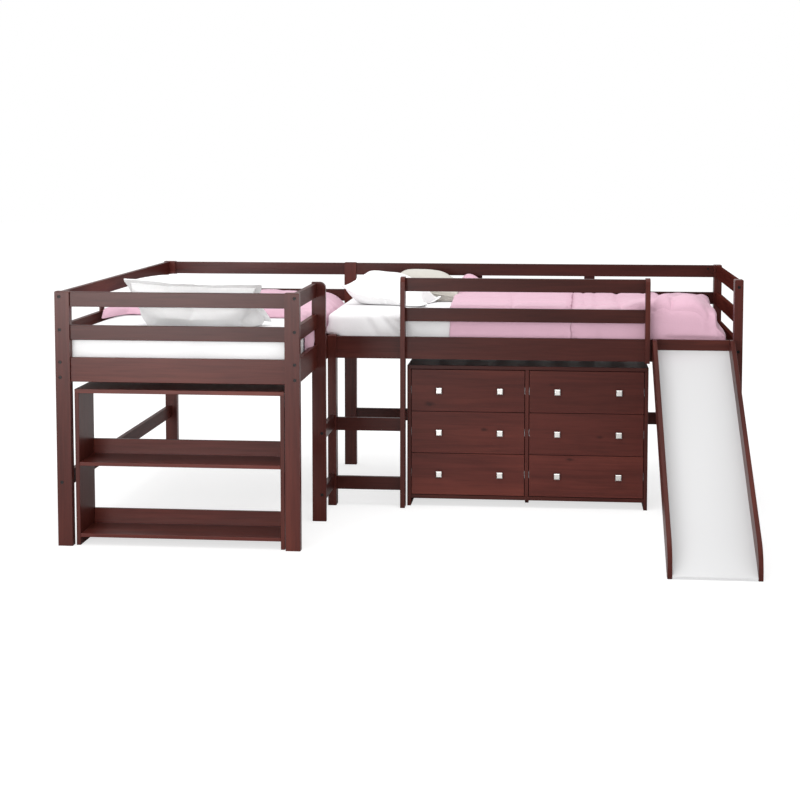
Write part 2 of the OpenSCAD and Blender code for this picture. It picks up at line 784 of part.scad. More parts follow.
module drawer(n) {
    x = drawer_x(n);
    z = drawer_z(n);
    y1 = dresser_y0 + panel_t;
    y2 = y1 + drawer_box_l;
    bx = box_w / 2;
    bt = drawer_side_t;
    color(wood) difference() {
        union() {
            block([x - front_w / 2, dresser_y0, z], [x + front_w / 2, y1, z + front_h]);
            for (s = [-bx, bx - bt]) block([x + s, y1, z + box_z], [x + s + bt, y2, z + box_z + drawer_box_h]);
            for (y = [y1, y2 - bt])
                block([x - bx + bt, y, z + box_z], [x + bx - bt, y + bt, z + box_z + drawer_box_h]);
            block([x - bx + bt, y1 + bt, z + box_z + 8],
                  [x + bx - bt, y2 - bt, z + box_z + 8 + drawer_bottom_t]);
        }
        knob_places(n) translate([0, 0, -panel_t - bt - 1]) cylinder(d = 5, h = panel_t + bt + 2, $fn = 24);
    }
}

// square knob on a round stem, held by a screw from inside the drawer
module knob_2d() {
    b = knob_cap_t / 3;
    w = knob_w / 2;
    h = knob_cap_t;
    polygon([[-w, 0], [w, 0], [w, h - b], [w - b, h], [b - w, h], [-w, h - b]]);
}

module knobs(n) {
    through = panel_t + drawer_side_t;
    bore = knob_stem_l - 1;
    color(nickel) knob_places(n) {
        difference() {
            union() {
                cylinder(d = knob_stem_d, h = knob_stem_l, $fn = 32);
                translate([0, 0, knob_stem_l]) intersection() {
                    translate([0, knob_w / 2, 0]) rotate([90, 0, 0]) linear_extrude(knob_w) knob_2d();
                    translate([-knob_w / 2, 0, 0]) rotate([90, 0, 90]) linear_extrude(knob_w) knob_2d();
                }
            }
            translate([0, 0, -1]) cylinder(d = 4.2, h = bore + 1, $fn = 24);
        }
        translate([0, 0, -through]) cylinder(d = 4, h = through + bore - 1, $fn = 24);
        translate([0, 0, -through - 2.5]) cylinder(d = 9, h = 2.5, $fn = 24);
    }
}

module drawer_1() { drawer(0); }
module drawer_2() { drawer(1); }
module drawer_3() { drawer(2); }
module drawer_4() { drawer(3); }
module drawer_5() { drawer(4); }
module drawer_6() { drawer(5); }
module knobs_1() { knobs(0); }
module knobs_2() { knobs(1); }
module knobs_3() { knobs(2); }
module knobs_4() { knobs(3); }
module knobs_5() { knobs(4); }
module knobs_6() { knobs(5); }

// Bookcase
module bookcase_sides() {
    color(wood) for (x = [case_x0, case_x1 - panel_t])
        block([x, case_y0, 0], [x + panel_t, case_y1, case_top_z]);
}

module bookcase_top() {
    color(wood) block([case_x0, case_y0, case_top_z], [case_x1, case_y1, bookcase_h]);
}

module bookcase_shelves() {
    color(wood) for (z = [low_shelf_z, mid_shelf_z])
        block([case_x0 + panel_t, case_y0, z], [case_x1 - panel_t, case_y1 - shelf_t, z + shelf_t]);
}

module bookcase_lips() {
    color(wood) for (z = [low_shelf_z, mid_shelf_z])
        block([case_x0 + panel_t, case_y1 - shelf_t, z], [case_x1 - panel_t, case_y1, z + lip_h]);
}

// Bedding
function ramp(a, b, x) = let (t = min(1, max(0, (x - a) / (b - a)))) t * t * (3 - 2 * t);
function hump(x, y, x0, y0, rx, ry) = exp(-pow((x - x0) / rx, 2) - pow((y - y0) / ry, 2));

// faces between an upper and a lower grid of (n+1) by (m+1) points, and round their rim
function grid_faces(n, m) =
    let (w = n + 1, k = w * (m + 1))
    concat(
        [for (j = [0:m - 1], i = [0:n - 1]) let (a = j * w + i) each
            [[a, a + w, a + w + 1], [a, a + w + 1, a + 1],
             [k + a, k + a + w + 1, k + a + w], [k + a, k + a + 1, k + a + w + 1]]],
        [for (i = [0:n - 1]) let (a = i, b = m * w + i) each
            [[k + a, a, a + 1], [k + a, a + 1, k + a + 1], [k + b, b + 1, b], [k + b, k + b + 1, b + 1]]],
        [for (j = [0:m - 1]) let (a = j * w, b = j * w + n) each
            [[k + a, a + w, a], [k + a, k + a + w, a + w], [k + b, b, b + w], [k + b, b + w, k + b + w]]]);

// outline of a rectangle with round corners
function round_rect(l, w, r, n = 5) =
    [for (q = [0:3], i = [0:n]) let (a = 90 * (q + i / n), sx = q == 0 || q == 3 ? 1 : -1, sy = q < 2 ? 1 : -1)
        [sx * (l / 2 - r) + r * cos(a), sy * (w / 2 - r) + r * sin(a)]];

// mattress: rings that round its edges, and a crown of a few millimetres
module mattress(x, y, l, w) {
    e = mattress_edge_r;
    crown = 3;
    h = mattress_t - crown;
    levels = concat([for (k = [0:3]) let (a = 90 - 30 * k) [e - e * sin(a), e - e * cos(a)]],
                    [for (k = [0:3]) let (a = 30 * k) [h - e + e * sin(a), e - e * cos(a)]],
                    [[h + crown * 0.95, e + 44]]);
    ring_n = 24;
    points = concat([for (v = levels) let (r = max(14, mattress_corner_r - v[1])) each
                     [for (p = round_rect(l - 2 * v[1], w - 2 * v[1], r)) [p[0], p[1], v[0]]]],
                    [[0, 0, 0], [0, 0, h + crown]]);
    last = len(levels) - 1;
    faces = concat([for (k = [0:last - 1], i = [0:ring_n - 1]) let (j = (i + 1) % ring_n, a = k * ring_n) each
                    [[a + i, a + ring_n + j, a + j], [a + i, a + ring_n + i, a + ring_n + j]]],
                   [for (i = [0:ring_n - 1]) let (j = (i + 1) % ring_n) each
                    [[len(points) - 2, i, j], [len(points) - 1, last * ring_n + j, last * ring_n + i]]]);
    translate([x, y, bed_z]) polyhedron(points, faces, convexity = 4);
}

module a_mattress() {
    color(white) mattress((a_in[0] + a_in[2]) / 2, (a_in[1] + a_in[3]) / 2, mattress_w, mattress_l);
}

module b_mattress() {
    color(white) mattress((b_in[0] + b_in[2]) / 2, (b_in[1] + b_in[3]) / 2, mattress_l, mattress_w);
}

// pillow with a crown, drawn-in sides and a flat flange, laid on the mattress at a slope and a turn;
// up is the share of its thickness above the flange
function pillow_puff(u, l) = pow(max(0, 1 - pow(min(1, abs(u) / (1 - 2 * flange_w / l)), 2.4)), 0.5);
function spread(i, n) = sin(-90 + 180 * i / n);
function pillow_points(l, w, t, n, m, up) =
    [for (s = [1, -1], j = [0:m], i = [0:n])
        let (u = spread(i, n), v = spread(j, m))
        [u * (l / 2 - pillow_draw * (1 - v * v)), v * (w / 2 - pillow_draw * (1 - u * u)),
         s * (flange_t / 2 + (t * (s > 0 ? up : 1 - up) - flange_t / 2) * pillow_puff(u, l) * pillow_puff(v, w))]];
function tilt_x(p, a) = [p[0], p[1] * cos(a) - p[2] * sin(a), p[1] * sin(a) + p[2] * cos(a)];
function tilt_y(p, a) = [p[0] * cos(a) + p[2] * sin(a), p[1], p[2] * cos(a) - p[0] * sin(a)];
function turn_z(p, a) = [p[0] * cos(a) - p[1] * sin(a), p[0] * sin(a) + p[1] * cos(a), p[2]];

module pillow(x, y, ax, ay, az, t, l, w, up) {
    n = 16;
    m = 12;
    points = [for (p = pillow_points(l, w, t, n, m, up)) turn_z(tilt_y(tilt_x(p, ax), ay), az)];
    low = min([for (p = points) p[2]]);
    translate([x, y, mattress_z + soft_gap - low]) polyhedron(points, grid_faces(n, m), convexity = 4);
}

// leans on the upper foot board, its lower edge out on the mattress
module a_pillow() {
    reach = pillow_w / 2 * cos(pillow_slope);
    color(white) pillow((a_in[0] + a_in[2]) / 2 + 38, a_in[1] + 18 + reach, -pillow_slope, 0, 0, pillow_t,
                        pillow_l, pillow_w, 0.55);
}

// lie behind one another at the head of the second bed
module b_pillow_front() {
    color(white) pillow(b_in[0] + 0.55 * head_pillow_l, b_in[3] - 0.5228 * mattress_w, 0, 0, 6, head_pillow_t,
                        head_pillow_l, head_pillow_w, 0.74);
}

module b_pillow_back() {
    color(ivory) pillow(b_in[0] + 0.312 * mattress_l - 8 - back_pillow_l / 2, b_in[3] - 0.5275 * head_pillow_w,
                        0, 0, -2, head_pillow_t + 10, back_pillow_l, head_pillow_w, 0.74);
}

// comforter stations from one edge to the other: [inner place, outer place, drop, at the hem, seam]
function plain_stations(a, b, n, pitch) =
    [for (i = [0:n]) let (s = a + (b - a) * i / n) [s, s, 0, 0, i > 0 && i < n && i % pitch == 0 ? 1 : 0]];
function hang_stations(edge, dir, t, drop) =
    let (r = mattress_edge_r, c = soft_gap)
    [[edge - dir * r * 0.2, edge + dir * (c + t * 0.6 - r * 0.25), r * 0.2, 0, 0],
     [edge + dir * c, edge + dir * (c + t * 0.8), r, 0, 0],
     [edge + dir * (c + 3), edge + dir * (c + t), drop, 1, 0]];
function reversed(v) = [for (i = [len(v) - 1:-1:0]) v[i]];

// sheet over the mattress; lead draws its first edge forward, column by column
module comforter(xs, ys, thick, lead) {
    n = len(xs) - 1;
    m = len(ys) - 1;
    base = mattress_z + soft_gap;
    points = [for (outer = [1, 0], j = [0:m], i = [0:n])
        let (px = xs[i], py = ys[j], t = thick[j][i] * (1 - 0.35 * max(px[4], py[4])), hem = max(px[3], py[3]))
        [px[outer], py[outer] - lead[i] * (1 - j / m), base + (hem == 1 ? 0 : outer * t) - max(px[2], py[2])]];
    polyhedron(points, grid_faces(n, m), convexity = 6);
}

// first comforter: covers the bed from behind the pillow to the head, hangs on the right, front edge wavy
module a_comforter() {
    edge = (a_in[0] + a_in[2] + mattress_w) / 2;
    side_t = a_up_x - upright_w - edge - 2 * soft_gap;
    left = a_in[0] + side_slack + 4;
    y0 = a_in[1] + 0.31 * mattress_l;
    y1 = a_in[3] - end_slack - 6;
    xs = concat(plain_stations(left, edge - 2 * mattress_edge_r, 16, 4),
                hang_stations(edge, 1, side_t, cover_drop));
    ys = plain_stations(y0, y1, 20, 4);
    w = edge - left;
    lead = [for (x = xs) 172 - 310 * ramp(left, left + 0.15 * w, x[0])
            + 110 * ramp(left + 0.35 * w, left + 0.72 * w, x[0]) + 140 * ramp(edge - 0.06 * w, edge, x[0])];
    thick = [for (y = ys) [for (x = xs) cover_t * (0.55 + 0.45 * ramp(y0 - 1, y0 + 60, y[0]))
        + 4 * sin(x[0] * 0.9 + y[0] * 0.25) + 12 * hump(x[0], y[0], left + 150, y0 + 90, 150, 60)]];
    color(pink) comforter(xs, ys, thick, lead);
}

// second comforter: folded double at its left, rumpled after that, and hanging over the front and the foot end
module b_comforter() {
    my = (b_in[1] + b_in[3]) / 2;
    front = my - mattress_w / 2;
    foot = (b_in[0] + b_in[2]) / 2 + mattress_l / 2;
    side_t = front - (b_up_y + upright_w) - 2 * soft_gap;
    foot_t = bx1 - post_t - foot - 2 * soft_gap;
    x0 = b_in[0] + 0.312 * mattress_l;
    fold_x = x0 + 0.30 * mattress_l;
    back = my + mattress_w / 2 - 6;
    xs = concat(plain_stations(x0, foot - 2 * mattress_edge_r, 27, 6),
                hang_stations(foot, 1, min(foot_t, side_t), cover_drop));
    ys = concat(reversed(hang_stations(front, -1, side_t, cover_drop)),
                plain_stations(front + 2 * mattress_edge_r, back, 12, 4));
    thick = [for (y = ys) [for (x = xs)
        cover_t * (0.6 + 0.4 * ramp(x0 - 1, x0 + 50, x[0]))
        + cover_fold_t * (1 - ramp(fold_x - 30, fold_x + 25, x[0])) * ramp(x0 - 1, x0 + 45, x[0])
        + 50 * hump(x[0], y[0], x0 + 60, back - 130, 60, 80)
        + 35 * hump(x[0], y[0], foot - 150, front + 250, 200, 220)
        + 5 * ramp(fold_x, fold_x + 60, x[0]) * sin(x[0] * 1.9 + y[0] * 0.3)]];
    color(pink) comforter(xs, ys, thick, [for (x = xs) 0]);
}

a_foot_posts();
a_head_posts();
a_end_guards();
a_end_rails();
a_side_guards();
a_side_rails();
a_side_stretcher();
a_short_guards();
a_ladder_upright();
a_slats();
b_corner_post();
b_end_posts();
b_front_rail();
b_front_guards();
b_ladder_upright();
b_slide_upright();
b_back_guards();
b_back_rail();
b_back_stretcher();
b_end_guards();
b_end_rail();
b_slats();
guard_cleats();
ladder_rungs();
mattress_ledgers();
bed_bolts();
barrel_nuts();
slide_sides();
slide_panel();
slide_battens();
dresser_sides();
dresser_divider();
dresser_top();
dresser_bottom();
dresser_back();
drawer_runners();
bookcase_sides();
bookcase_top();
bookcase_shelves();
bookcase_lips();
drawer_1();
drawer_2();
drawer_3();
drawer_4();
drawer_5();
drawer_6();
knobs_1();
knobs_2();
knobs_3();
knobs_4();
knobs_5();
knobs_6();
a_mattress();
b_mattress();
a_pillow();
b_pillow_front();
b_pillow_back();
a_comforter();
b_comforter();
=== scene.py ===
import math

import bmesh
import bpy
from mathutils import Euler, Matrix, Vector, noise


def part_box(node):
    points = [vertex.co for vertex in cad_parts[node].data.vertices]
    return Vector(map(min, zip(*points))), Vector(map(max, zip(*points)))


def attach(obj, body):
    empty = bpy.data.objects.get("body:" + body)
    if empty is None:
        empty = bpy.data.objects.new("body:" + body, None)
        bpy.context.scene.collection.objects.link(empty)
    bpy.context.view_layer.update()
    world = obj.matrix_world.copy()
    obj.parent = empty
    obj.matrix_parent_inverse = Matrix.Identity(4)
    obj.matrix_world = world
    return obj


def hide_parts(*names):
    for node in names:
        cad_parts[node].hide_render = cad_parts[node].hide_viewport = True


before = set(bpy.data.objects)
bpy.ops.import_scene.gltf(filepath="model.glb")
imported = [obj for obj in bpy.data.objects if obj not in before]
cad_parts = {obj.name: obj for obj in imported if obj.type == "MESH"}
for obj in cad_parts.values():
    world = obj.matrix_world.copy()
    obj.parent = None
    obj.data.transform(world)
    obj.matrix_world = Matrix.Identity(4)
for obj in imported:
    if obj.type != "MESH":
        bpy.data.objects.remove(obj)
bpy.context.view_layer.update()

# ---------------------------------------------------------------- camera
# The photograph is taken from just above bed height, a little right of the middle, with a long
# lens. The view is level in the photograph: part of that is the lens shift, part a slight tilt.
tilt_down, turned_left = math.radians(4.518), 0.09763
bpy.ops.object.camera_add(location=(0.6390, -7.5326, 1.7048),
                          rotation=(math.radians(90) - tilt_down, 0, turned_left))
camera = bpy.context.object
camera.name = "camera"
camera.data.lens = 72.109
camera.data.shift_y = -0.15
bpy.context.scene.camera = camera

# ---------------------------------------------------------------- studio
# A pale floor that keeps a faint shadow, a white backdrop, a broad lamp above the beds and a wide
# one before them. The third lamp lights no surface: it shows in the clear coat of the first bed's
# foot boards as their grey sheen.
bpy.context.scene.view_settings.view_transform = "Standard"

world = bpy.data.worlds.new("studio")
bpy.context.scene.world = world
world.use_nodes = True
wn = world.node_tree
wn.nodes.clear()
path = wn.nodes.new("ShaderNodeLightPath")
seen = wn.nodes.new("ShaderNodeMath")
seen.operation = "MAXIMUM"
seen_too = wn.nodes.new("ShaderNodeMath")
seen_too.operation = "MAXIMUM"
wn.links.new(path.outputs["Is Camera Ray"], seen.inputs[0])
wn.links.new(path.outputs["Is Transmission Ray"], seen.inputs[1])
wn.links.new(seen.outputs[0], seen_too.inputs[0])
wn.links.new(path.outputs["Is Glossy Ray"], seen_too.inputs[1])
ambient = wn.nodes.new("ShaderNodeBackground")
ambient.inputs["Color"].default_value = (1, 1, 1, 1)
ambient.inputs["Strength"].default_value = 0.95
backdrop = wn.nodes.new("ShaderNodeBackground")
backdrop.inputs["Color"].default_value = (1, 1, 1, 1)
backdrop.inputs["Strength"].default_value = 1.0
mix = wn.nodes.new("ShaderNodeMixShader")
out = wn.nodes.new("ShaderNodeOutputWorld")
wn.links.new(seen_too.outputs[0], mix.inputs[0])
wn.links.new(ambient.outputs[0], mix.inputs[1])
wn.links.new(backdrop.outputs[0], mix.inputs[2])
wn.links.new(mix.outputs[0], out.inputs[0])

for name, place, turn, size, power in (
        ("lamp_above", (-0.5, -0.6, 4.6), (0.2, 0.0, 0.0), (4.2, 3.0), 92),
        ("lamp_left", (-1.6, -5.3, 1.6), (math.radians(86), 0, math.radians(-12)), (3.4, 2.0), 92),
        ("lamp_gloss", (-2.45, -6.5, 1.35), (math.radians(90), 0, math.radians(-14)), (2.3, 1.9), 430)):
    bpy.ops.object.light_add(type="AREA", location=place, rotation=turn)
    lamp = bpy.context.object
    lamp.name = name
    lamp.data.shape = "RECTANGLE"
    lamp.data.size, lamp.data.size_y = size
    lamp.data.energy = power
    lamp.visible_camera = False
    lamp.visible_diffuse = name != "lamp_gloss"
    lamp.visible_glossy = name != "lamp_left"

bpy.ops.object.select_all(action="DESELECT")
bpy.ops.mesh.primitive_plane_add(size=60)
floor = bpy.context.object
floor.name = "floor"
paper = bpy.data.materials.new("paper_floor")
paper.use_nodes = True
pn = paper.node_tree
pn.nodes.clear()
path = pn.nodes.new("ShaderNodeLightPath")
plain = pn.nodes.new("ShaderNodeBsdfDiffuse")
plain.inputs["Color"].default_value = (0.8, 0.8, 0.8, 1)
soft = pn.nodes.new("ShaderNodeBsdfDiffuse")
soft.inputs["Color"].default_value = (0.42, 0.42, 0.42, 1)
glow = pn.nodes.new("ShaderNodeEmission")
glow.inputs["Strength"].default_value = 0.68
both = pn.nodes.new("ShaderNodeAddShader")
mix = pn.nodes.new("ShaderNodeMixShader")
out = pn.nodes.new("ShaderNodeOutputMaterial")
pn.links.new(soft.outputs[0], both.inputs[0])
pn.links.new(glow.outputs[0], both.inputs[1])
pn.links.new(path.outputs["Is Camera Ray"], mix.inputs[0])
pn.links.new(plain.outputs[0], mix.inputs[1])
pn.links.new(both.outputs[0], mix.inputs[2])
pn.links.new(mix.outputs[0], out.inputs[0])
floor.data.materials.append(paper)

# ---------------------------------------------------------------- bed frames, ladders, slide boards
# Solid pine, stained dark red-brown under a satin clear coat. Edges are eased by a router; end
# boards are glued between the posts, the other boards are bolted.


def stained_pine(name, grain, shift=0.0, slope=0.0, knots=(), tone=1.0, gloss=0.10):
    """Stained pine with its grain along X, Y or Z, or down a slope in the YZ plane. A knot is
    (x, y, z, radius), tone darkens or lightens the stain, and gloss is the shine of the coat."""
    m = bpy.data.materials.new(name)
    m.use_nodes = True
    t = m.node_tree
    new, link = t.nodes.new, t.links.new
    coat = t.nodes["Principled BSDF"]
    place = new("ShaderNodeTexCoord")
    turned = new("ShaderNodeMapping")
    turned.inputs["Location"].default_value = (shift, shift * 0.7, shift * 0.4)
    turned.inputs["Rotation"].default_value = (slope, 0, 0)
    link(place.outputs["Object"], turned.inputs["Vector"])
    stretch = {"X": (0.045, 1, 1), "Y": (1, 0.045, 1), "Z": (1, 1, 0.045)}[grain]

    def stretched(k):
        node = new("ShaderNodeMapping")
        node.inputs["Scale"].default_value = tuple(c if c == 1 else c * k for c in stretch)
        link(turned.outputs[0], node.inputs["Vector"])
        return node.outputs[0]

    def clouds(vector, scale, detail, rough, warp=0.0):
        node = new("ShaderNodeTexNoise")
        node.inputs["Scale"].default_value = scale
        node.inputs["Detail"].default_value = detail
        node.inputs["Roughness"].default_value = rough
        node.inputs["Distortion"].default_value = warp
        link(vector, node.inputs["Vector"])
        return node.outputs["Fac"]

    def toned(value, *stops):
        node = new("ShaderNodeValToRGB")
        node.color_ramp.elements[0].position, node.color_ramp.elements[0].color = stops[0]
        node.color_ramp.elements[1].position, node.color_ramp.elements[1].color = stops[-1]
        for pos, col in stops[1:-1]:
            node.color_ramp.elements.new(pos).color = col
        link(value, node.inputs["Fac"])
        return node.outputs["Color"]

    def times(a, b, fac=1.0):
        node = new("ShaderNodeMix")
        node.data_type, node.blend_type = "RGBA", "MULTIPLY"
        node.inputs["Factor"].default_value = fac
        link(a, node.inputs["A"])
        link(b, node.inputs["B"])
        return node.outputs["Result"]

    def grey(v):
        return v, v, v, 1

    # broad tone of the stain, growth rings, and fine pores
    deep, middle, light = (tuple(c * tone for c in rgb) + (1,) for rgb in (
        (0.050, 0.0112, 0.0086), (0.068, 0.0152, 0.0114), (0.096, 0.0226, 0.0158)))
    tone_map = toned(clouds(stretched(3.0), 7.0, 3.0, 0.55, 0.4),
                     (0.28, deep), (0.52, middle), (0.74, light))
    rings = toned(clouds(stretched(1.0), 62.0, 4.0, 0.6, 0.9),
                  (0.34, grey(0.82)), (0.50, grey(0.98)), (0.66, grey(1.10)))
    pores = clouds(stretched(0.45), 420.0, 2.0, 0.5)
    pore_map = toned(pores, (0.36, grey(0.86)), (0.52, grey(1.0)))
    colour = times(times(tone_map, rings), pore_map, 0.8)
    # knots: dark and longer along the grain, with a ragged rim
    for x, y, z, r in knots:
        away = new("ShaderNodeVectorMath")
        away.operation = "SUBTRACT"
        away.inputs[1].default_value = (x, y, z)
        link(place.outputs["Object"], away.inputs[0])
        flat = new("ShaderNodeVectorMath")
        flat.operation = "MULTIPLY"
        flat.inputs[1].default_value = {"X": (0.45, 1, 1), "Y": (1, 0.45, 1), "Z": (1, 1, 0.45)}[grain]
        link(away.outputs[0], flat.inputs[0])
        length = new("ShaderNodeVectorMath")
        length.operation = "LENGTH"
        link(flat.outputs[0], length.inputs[0])
        ragged = new("ShaderNodeMath")
        ragged.operation = "MULTIPLY_ADD"
        link(clouds(turned.outputs[0], 60.0, 3.0, 0.6), ragged.inputs[0])
        ragged.inputs[1].default_value = r * 1.1
        link(length.outputs["Value"], ragged.inputs[2])
        colour = times(colour, toned(ragged.outputs[0], (r * 0.9, grey(0.38)), (r * 1.9, grey(1.0))))
    link(colour, coat.inputs["Base Color"])
    satin = new("ShaderNodeMapRange")
    satin.inputs["To Min"].default_value, satin.inputs["To Max"].default_value = 0.40, 0.30
    link(pores, satin.inputs["Value"])
    link(satin.outputs[0], coat.inputs["Roughness"])
    coat.inputs["Specular IOR Level"].default_value = gloss
    coat.inputs["Coat Weight"].default_value = 0.3 * gloss
    coat.inputs["Coat Roughness"].default_value = 0.22
    relief = new("ShaderNodeBump")
    relief.inputs["Strength"].default_value = 0.12
    relief.inputs["Distance"].default_value = 0.0006
    link(pores, relief.inputs["Height"])
    link(relief.outputs[0], coat.inputs["Normal"])
    return m


def alone(o):
    """Makes o the only selected object and the active one."""
    bpy.ops.object.select_all(action="DESELECT")
    o.select_set(True)
    bpy.context.view_layer.objects.active = o


def eased(node, width=0.002):
    """Eases the edges of a CAD node's boards, as a router or sandpaper does."""
    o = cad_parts[node]
    alone(o)
    bpy.ops.mesh.customdata_custom_splitnormals_clear()
    weld = o.modifiers.new("weld", "WELD")
    weld.merge_threshold = 0.00001
    flat = o.modifiers.new("flat", "DECIMATE")
    flat.decimate_type, flat.angle_limit = "DISSOLVE", math.radians(1)
    edge = o.modifiers.new("edge", "BEVEL")
    edge.width, edge.segments, edge.limit_method, edge.angle_limit = width, 2, "ANGLE", math.radians(40)
    edge.harden_normals = True


def finish_with(node, material):
    """Gives a CAD node its material."""
    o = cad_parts[node]
    o.data.materials.clear()
    o.data.materials.append(material)


# painted shade: the boards along X, the second bed's guards among them, get a darker stain
pine_x = stained_pine("stained_pine_along_x", "X", tone=0.72)
pine_end = stained_pine("stained_pine_end_guards", "X", 1.1, tone=0.87)
pine_rail = stained_pine("stained_pine_front_rail", "X", 3.1, tone=0.93)
pine_wide = stained_pine("stained_pine_end_rails", "X", 2.3, tone=1.10)
pine_y = stained_pine("stained_pine_along_y", "Y", 0.3, tone=0.9, gloss=0.02)
pine_z = stained_pine("stained_pine_upright", "Z", 0.7, tone=1.08)
pine_far = stained_pine("stained_pine_right_end", "Y", 1.7, tone=0.9, gloss=0.0)
slide_drop, slide_run = 0.763, 1.229
slide_slope = math.atan2(slide_drop, slide_run)
pine_slope = stained_pine("stained_pine_down_the_slide", "Y", 0.9, -slide_slope, gloss=0.08)
for material, nodes in (
        (pine_z, ("a_foot_posts", "a_head_posts", "a_ladder_upright", "b_corner_post", "b_end_posts",
                  "b_ladder_upright", "b_slide_upright", "guard_cleats")),
        (pine_end, ("a_end_guards",)), (pine_wide, ("a_end_rails",)), (pine_rail, ("b_front_rail",)),
        (pine_y, ("a_side_guards", "a_side_rails", "a_side_stretcher", "a_short_guards", "b_slats")),
        (pine_far, ("b_end_guards", "b_end_rail")),
        (pine_x, ("a_slats", "b_front_guards", "b_back_guards", "b_back_rail", "b_back_stretcher",
                  "ladder_rungs", "mattress_ledgers", "slide_battens")),
        (pine_slope, ("slide_sides",))):
    for node in nodes:
        eased(node)
        finish_with(node, material)

# ---------------------------------------------------------------- dresser
# Pine panels in the same stain, glued and dowelled, with six flush drawer fronts of edge-glued board.
# The lower a front is, the lighter it is painted: painted light in the beds' shade. Each front has one
# knot.
panel_ease = 0.0015
for node, material in (("dresser_sides", pine_z), ("dresser_divider", pine_z), ("dresser_top", pine_x),
                       ("dresser_bottom", pine_x), ("dresser_back", pine_x)):
    eased(node, panel_ease)
    finish_with(node, material)
front_knots = ((0.075, 0.11, 0.14, 0.005), (0.298, 0.11, 0.380, 0.008), (0.035, 0.11, 0.500, 0.011),
               (0.710, 0.11, 0.240, 0.007), (0.851, 0.11, 0.351, 0.007), (0.62, 0.11, 0.60, 0.005))
# painted light: a lighter stain on the lower fronts offsets the shade under the beds
front_tones_painted_light = (1.45, 1.25, 1.1)
for i, knot in enumerate(front_knots):
    node = "drawer_%d" % (i + 1)
    eased(node, panel_ease)
    finish_with(node, stained_pine("drawer_front_%d" % (i + 1), "X", 1.3 * i, knots=(knot,),
                                   tone=front_tones_painted_light[i % 3]))

# ---------------------------------------------------------------- bookcase
# Two sides, a top, two shelves and two strips behind the shelves, in the same pine.
pine_shelf = stained_pine("stained_pine_shelves", "X", 4.2, tone=1.5)
for node, material in (("bookcase_sides", pine_z), ("bookcase_top", pine_shelf),
                       ("bookcase_shelves", pine_shelf), ("bookcase_lips", pine_shelf)):
    eased(node, panel_ease)
    finish_with(node, material)


# ---------------------------------------------------------------- metal fixings and knobs
# Blackened steel bolts and barrel nuts, zinc runners, cast knobs with a satin nickel plate.
def metal(name, colour, rough):
    """Metal with a fine cloudy grain in its colour and its polish."""
    m = bpy.data.materials.new(name)
    m.use_nodes = True
    t = m.node_tree
    b = t.nodes["Principled BSDF"]
    place = t.nodes.new("ShaderNodeTexCoord")
    grain = t.nodes.new("ShaderNodeTexNoise")
    grain.inputs["Scale"].default_value = 300.0
    grain.inputs["Detail"].default_value = 3.0
    t.links.new(place.outputs["Object"], grain.inputs["Vector"])
    shade = t.nodes.new("ShaderNodeMapRange")
    shade.inputs["To Min"].default_value, shade.inputs["To Max"].default_value = rough * 0.8, rough * 1.2
    t.links.new(grain.outputs["Fac"], shade.inputs["Value"])
    t.links.new(shade.outputs[0], b.inputs["Roughness"])
    tint = t.nodes.new("ShaderNodeValToRGB")
    tint.color_ramp.elements[0].color = tuple(c * 0.85 for c in colour) + (1,)
    tint.color_ramp.elements[1].color = tuple(colour) + (1,)
    t.links.new(grain.outputs["Fac"], tint.inputs["Fac"])
    t.links.new(tint.outputs[0], b.inputs["Base Color"])
    b.inputs["Metallic"].default_value = 1.0
    return m


black_steel = metal("blackened_steel", (0.020, 0.018, 0.018), 0.5)
zinc = metal("zinc_plate", (0.55, 0.56, 0.58), 0.35)
nickel = metal("satin_nickel", (0.62, 0.61, 0.59), 0.30)
finish_with("bed_bolts", black_steel)
finish_with("barrel_nuts", black_steel)
finish_with("drawer_runners", zinc)
for i in range(6):
    eased("knobs_%d" % (i + 1), 0.0008)
    finish_with("knobs_%d" % (i + 1), nickel)

# ---------------------------------------------------------------- slide panel
# White high-pressure laminate with a gloss face, let into the side boards.
laminate = bpy.data.materials.new("white_laminate")
laminate.use_nodes = True
t = laminate.node_tree
b = t.nodes["Principled BSDF"]
b.inputs["Base Color"].default_value = (0.60, 0.60, 0.605, 1)
b.inputs["Specular IOR Level"].default_value = 0.5
place = t.nodes.new("ShaderNodeTexCoord")
waves = t.nodes.new("ShaderNodeTexNoise")
waves.inputs["Scale"].default_value = 9.0
t.links.new(place.outputs["Object"], waves.inputs["Vector"])
shade = t.nodes.new("ShaderNodeMapRange")
shade.inputs["To Min"].default_value, shade.inputs["To Max"].default_value = 0.16, 0.26
t.links.new(waves.outputs["Fac"], shade.inputs["Value"])
t.links.new(shade.outputs[0], b.inputs["Roughness"])
finish_with("slide_panel", laminate)

# ---------------------------------------------------------------- mattresses in fitted sheets
# Two foam mattresses, each in a white percale sheet with an elastic hem, pulled tight over rounded
# edges. They lie on the slats; the sheet creases where it is drawn round the corners.
def ramp(a, b, x):
    """Eases from 0 at a to 1 at b."""
    x = max(0.0, min(1.0, (x - a) / (b - a)))
    return x * x * (3 - 2 * x)


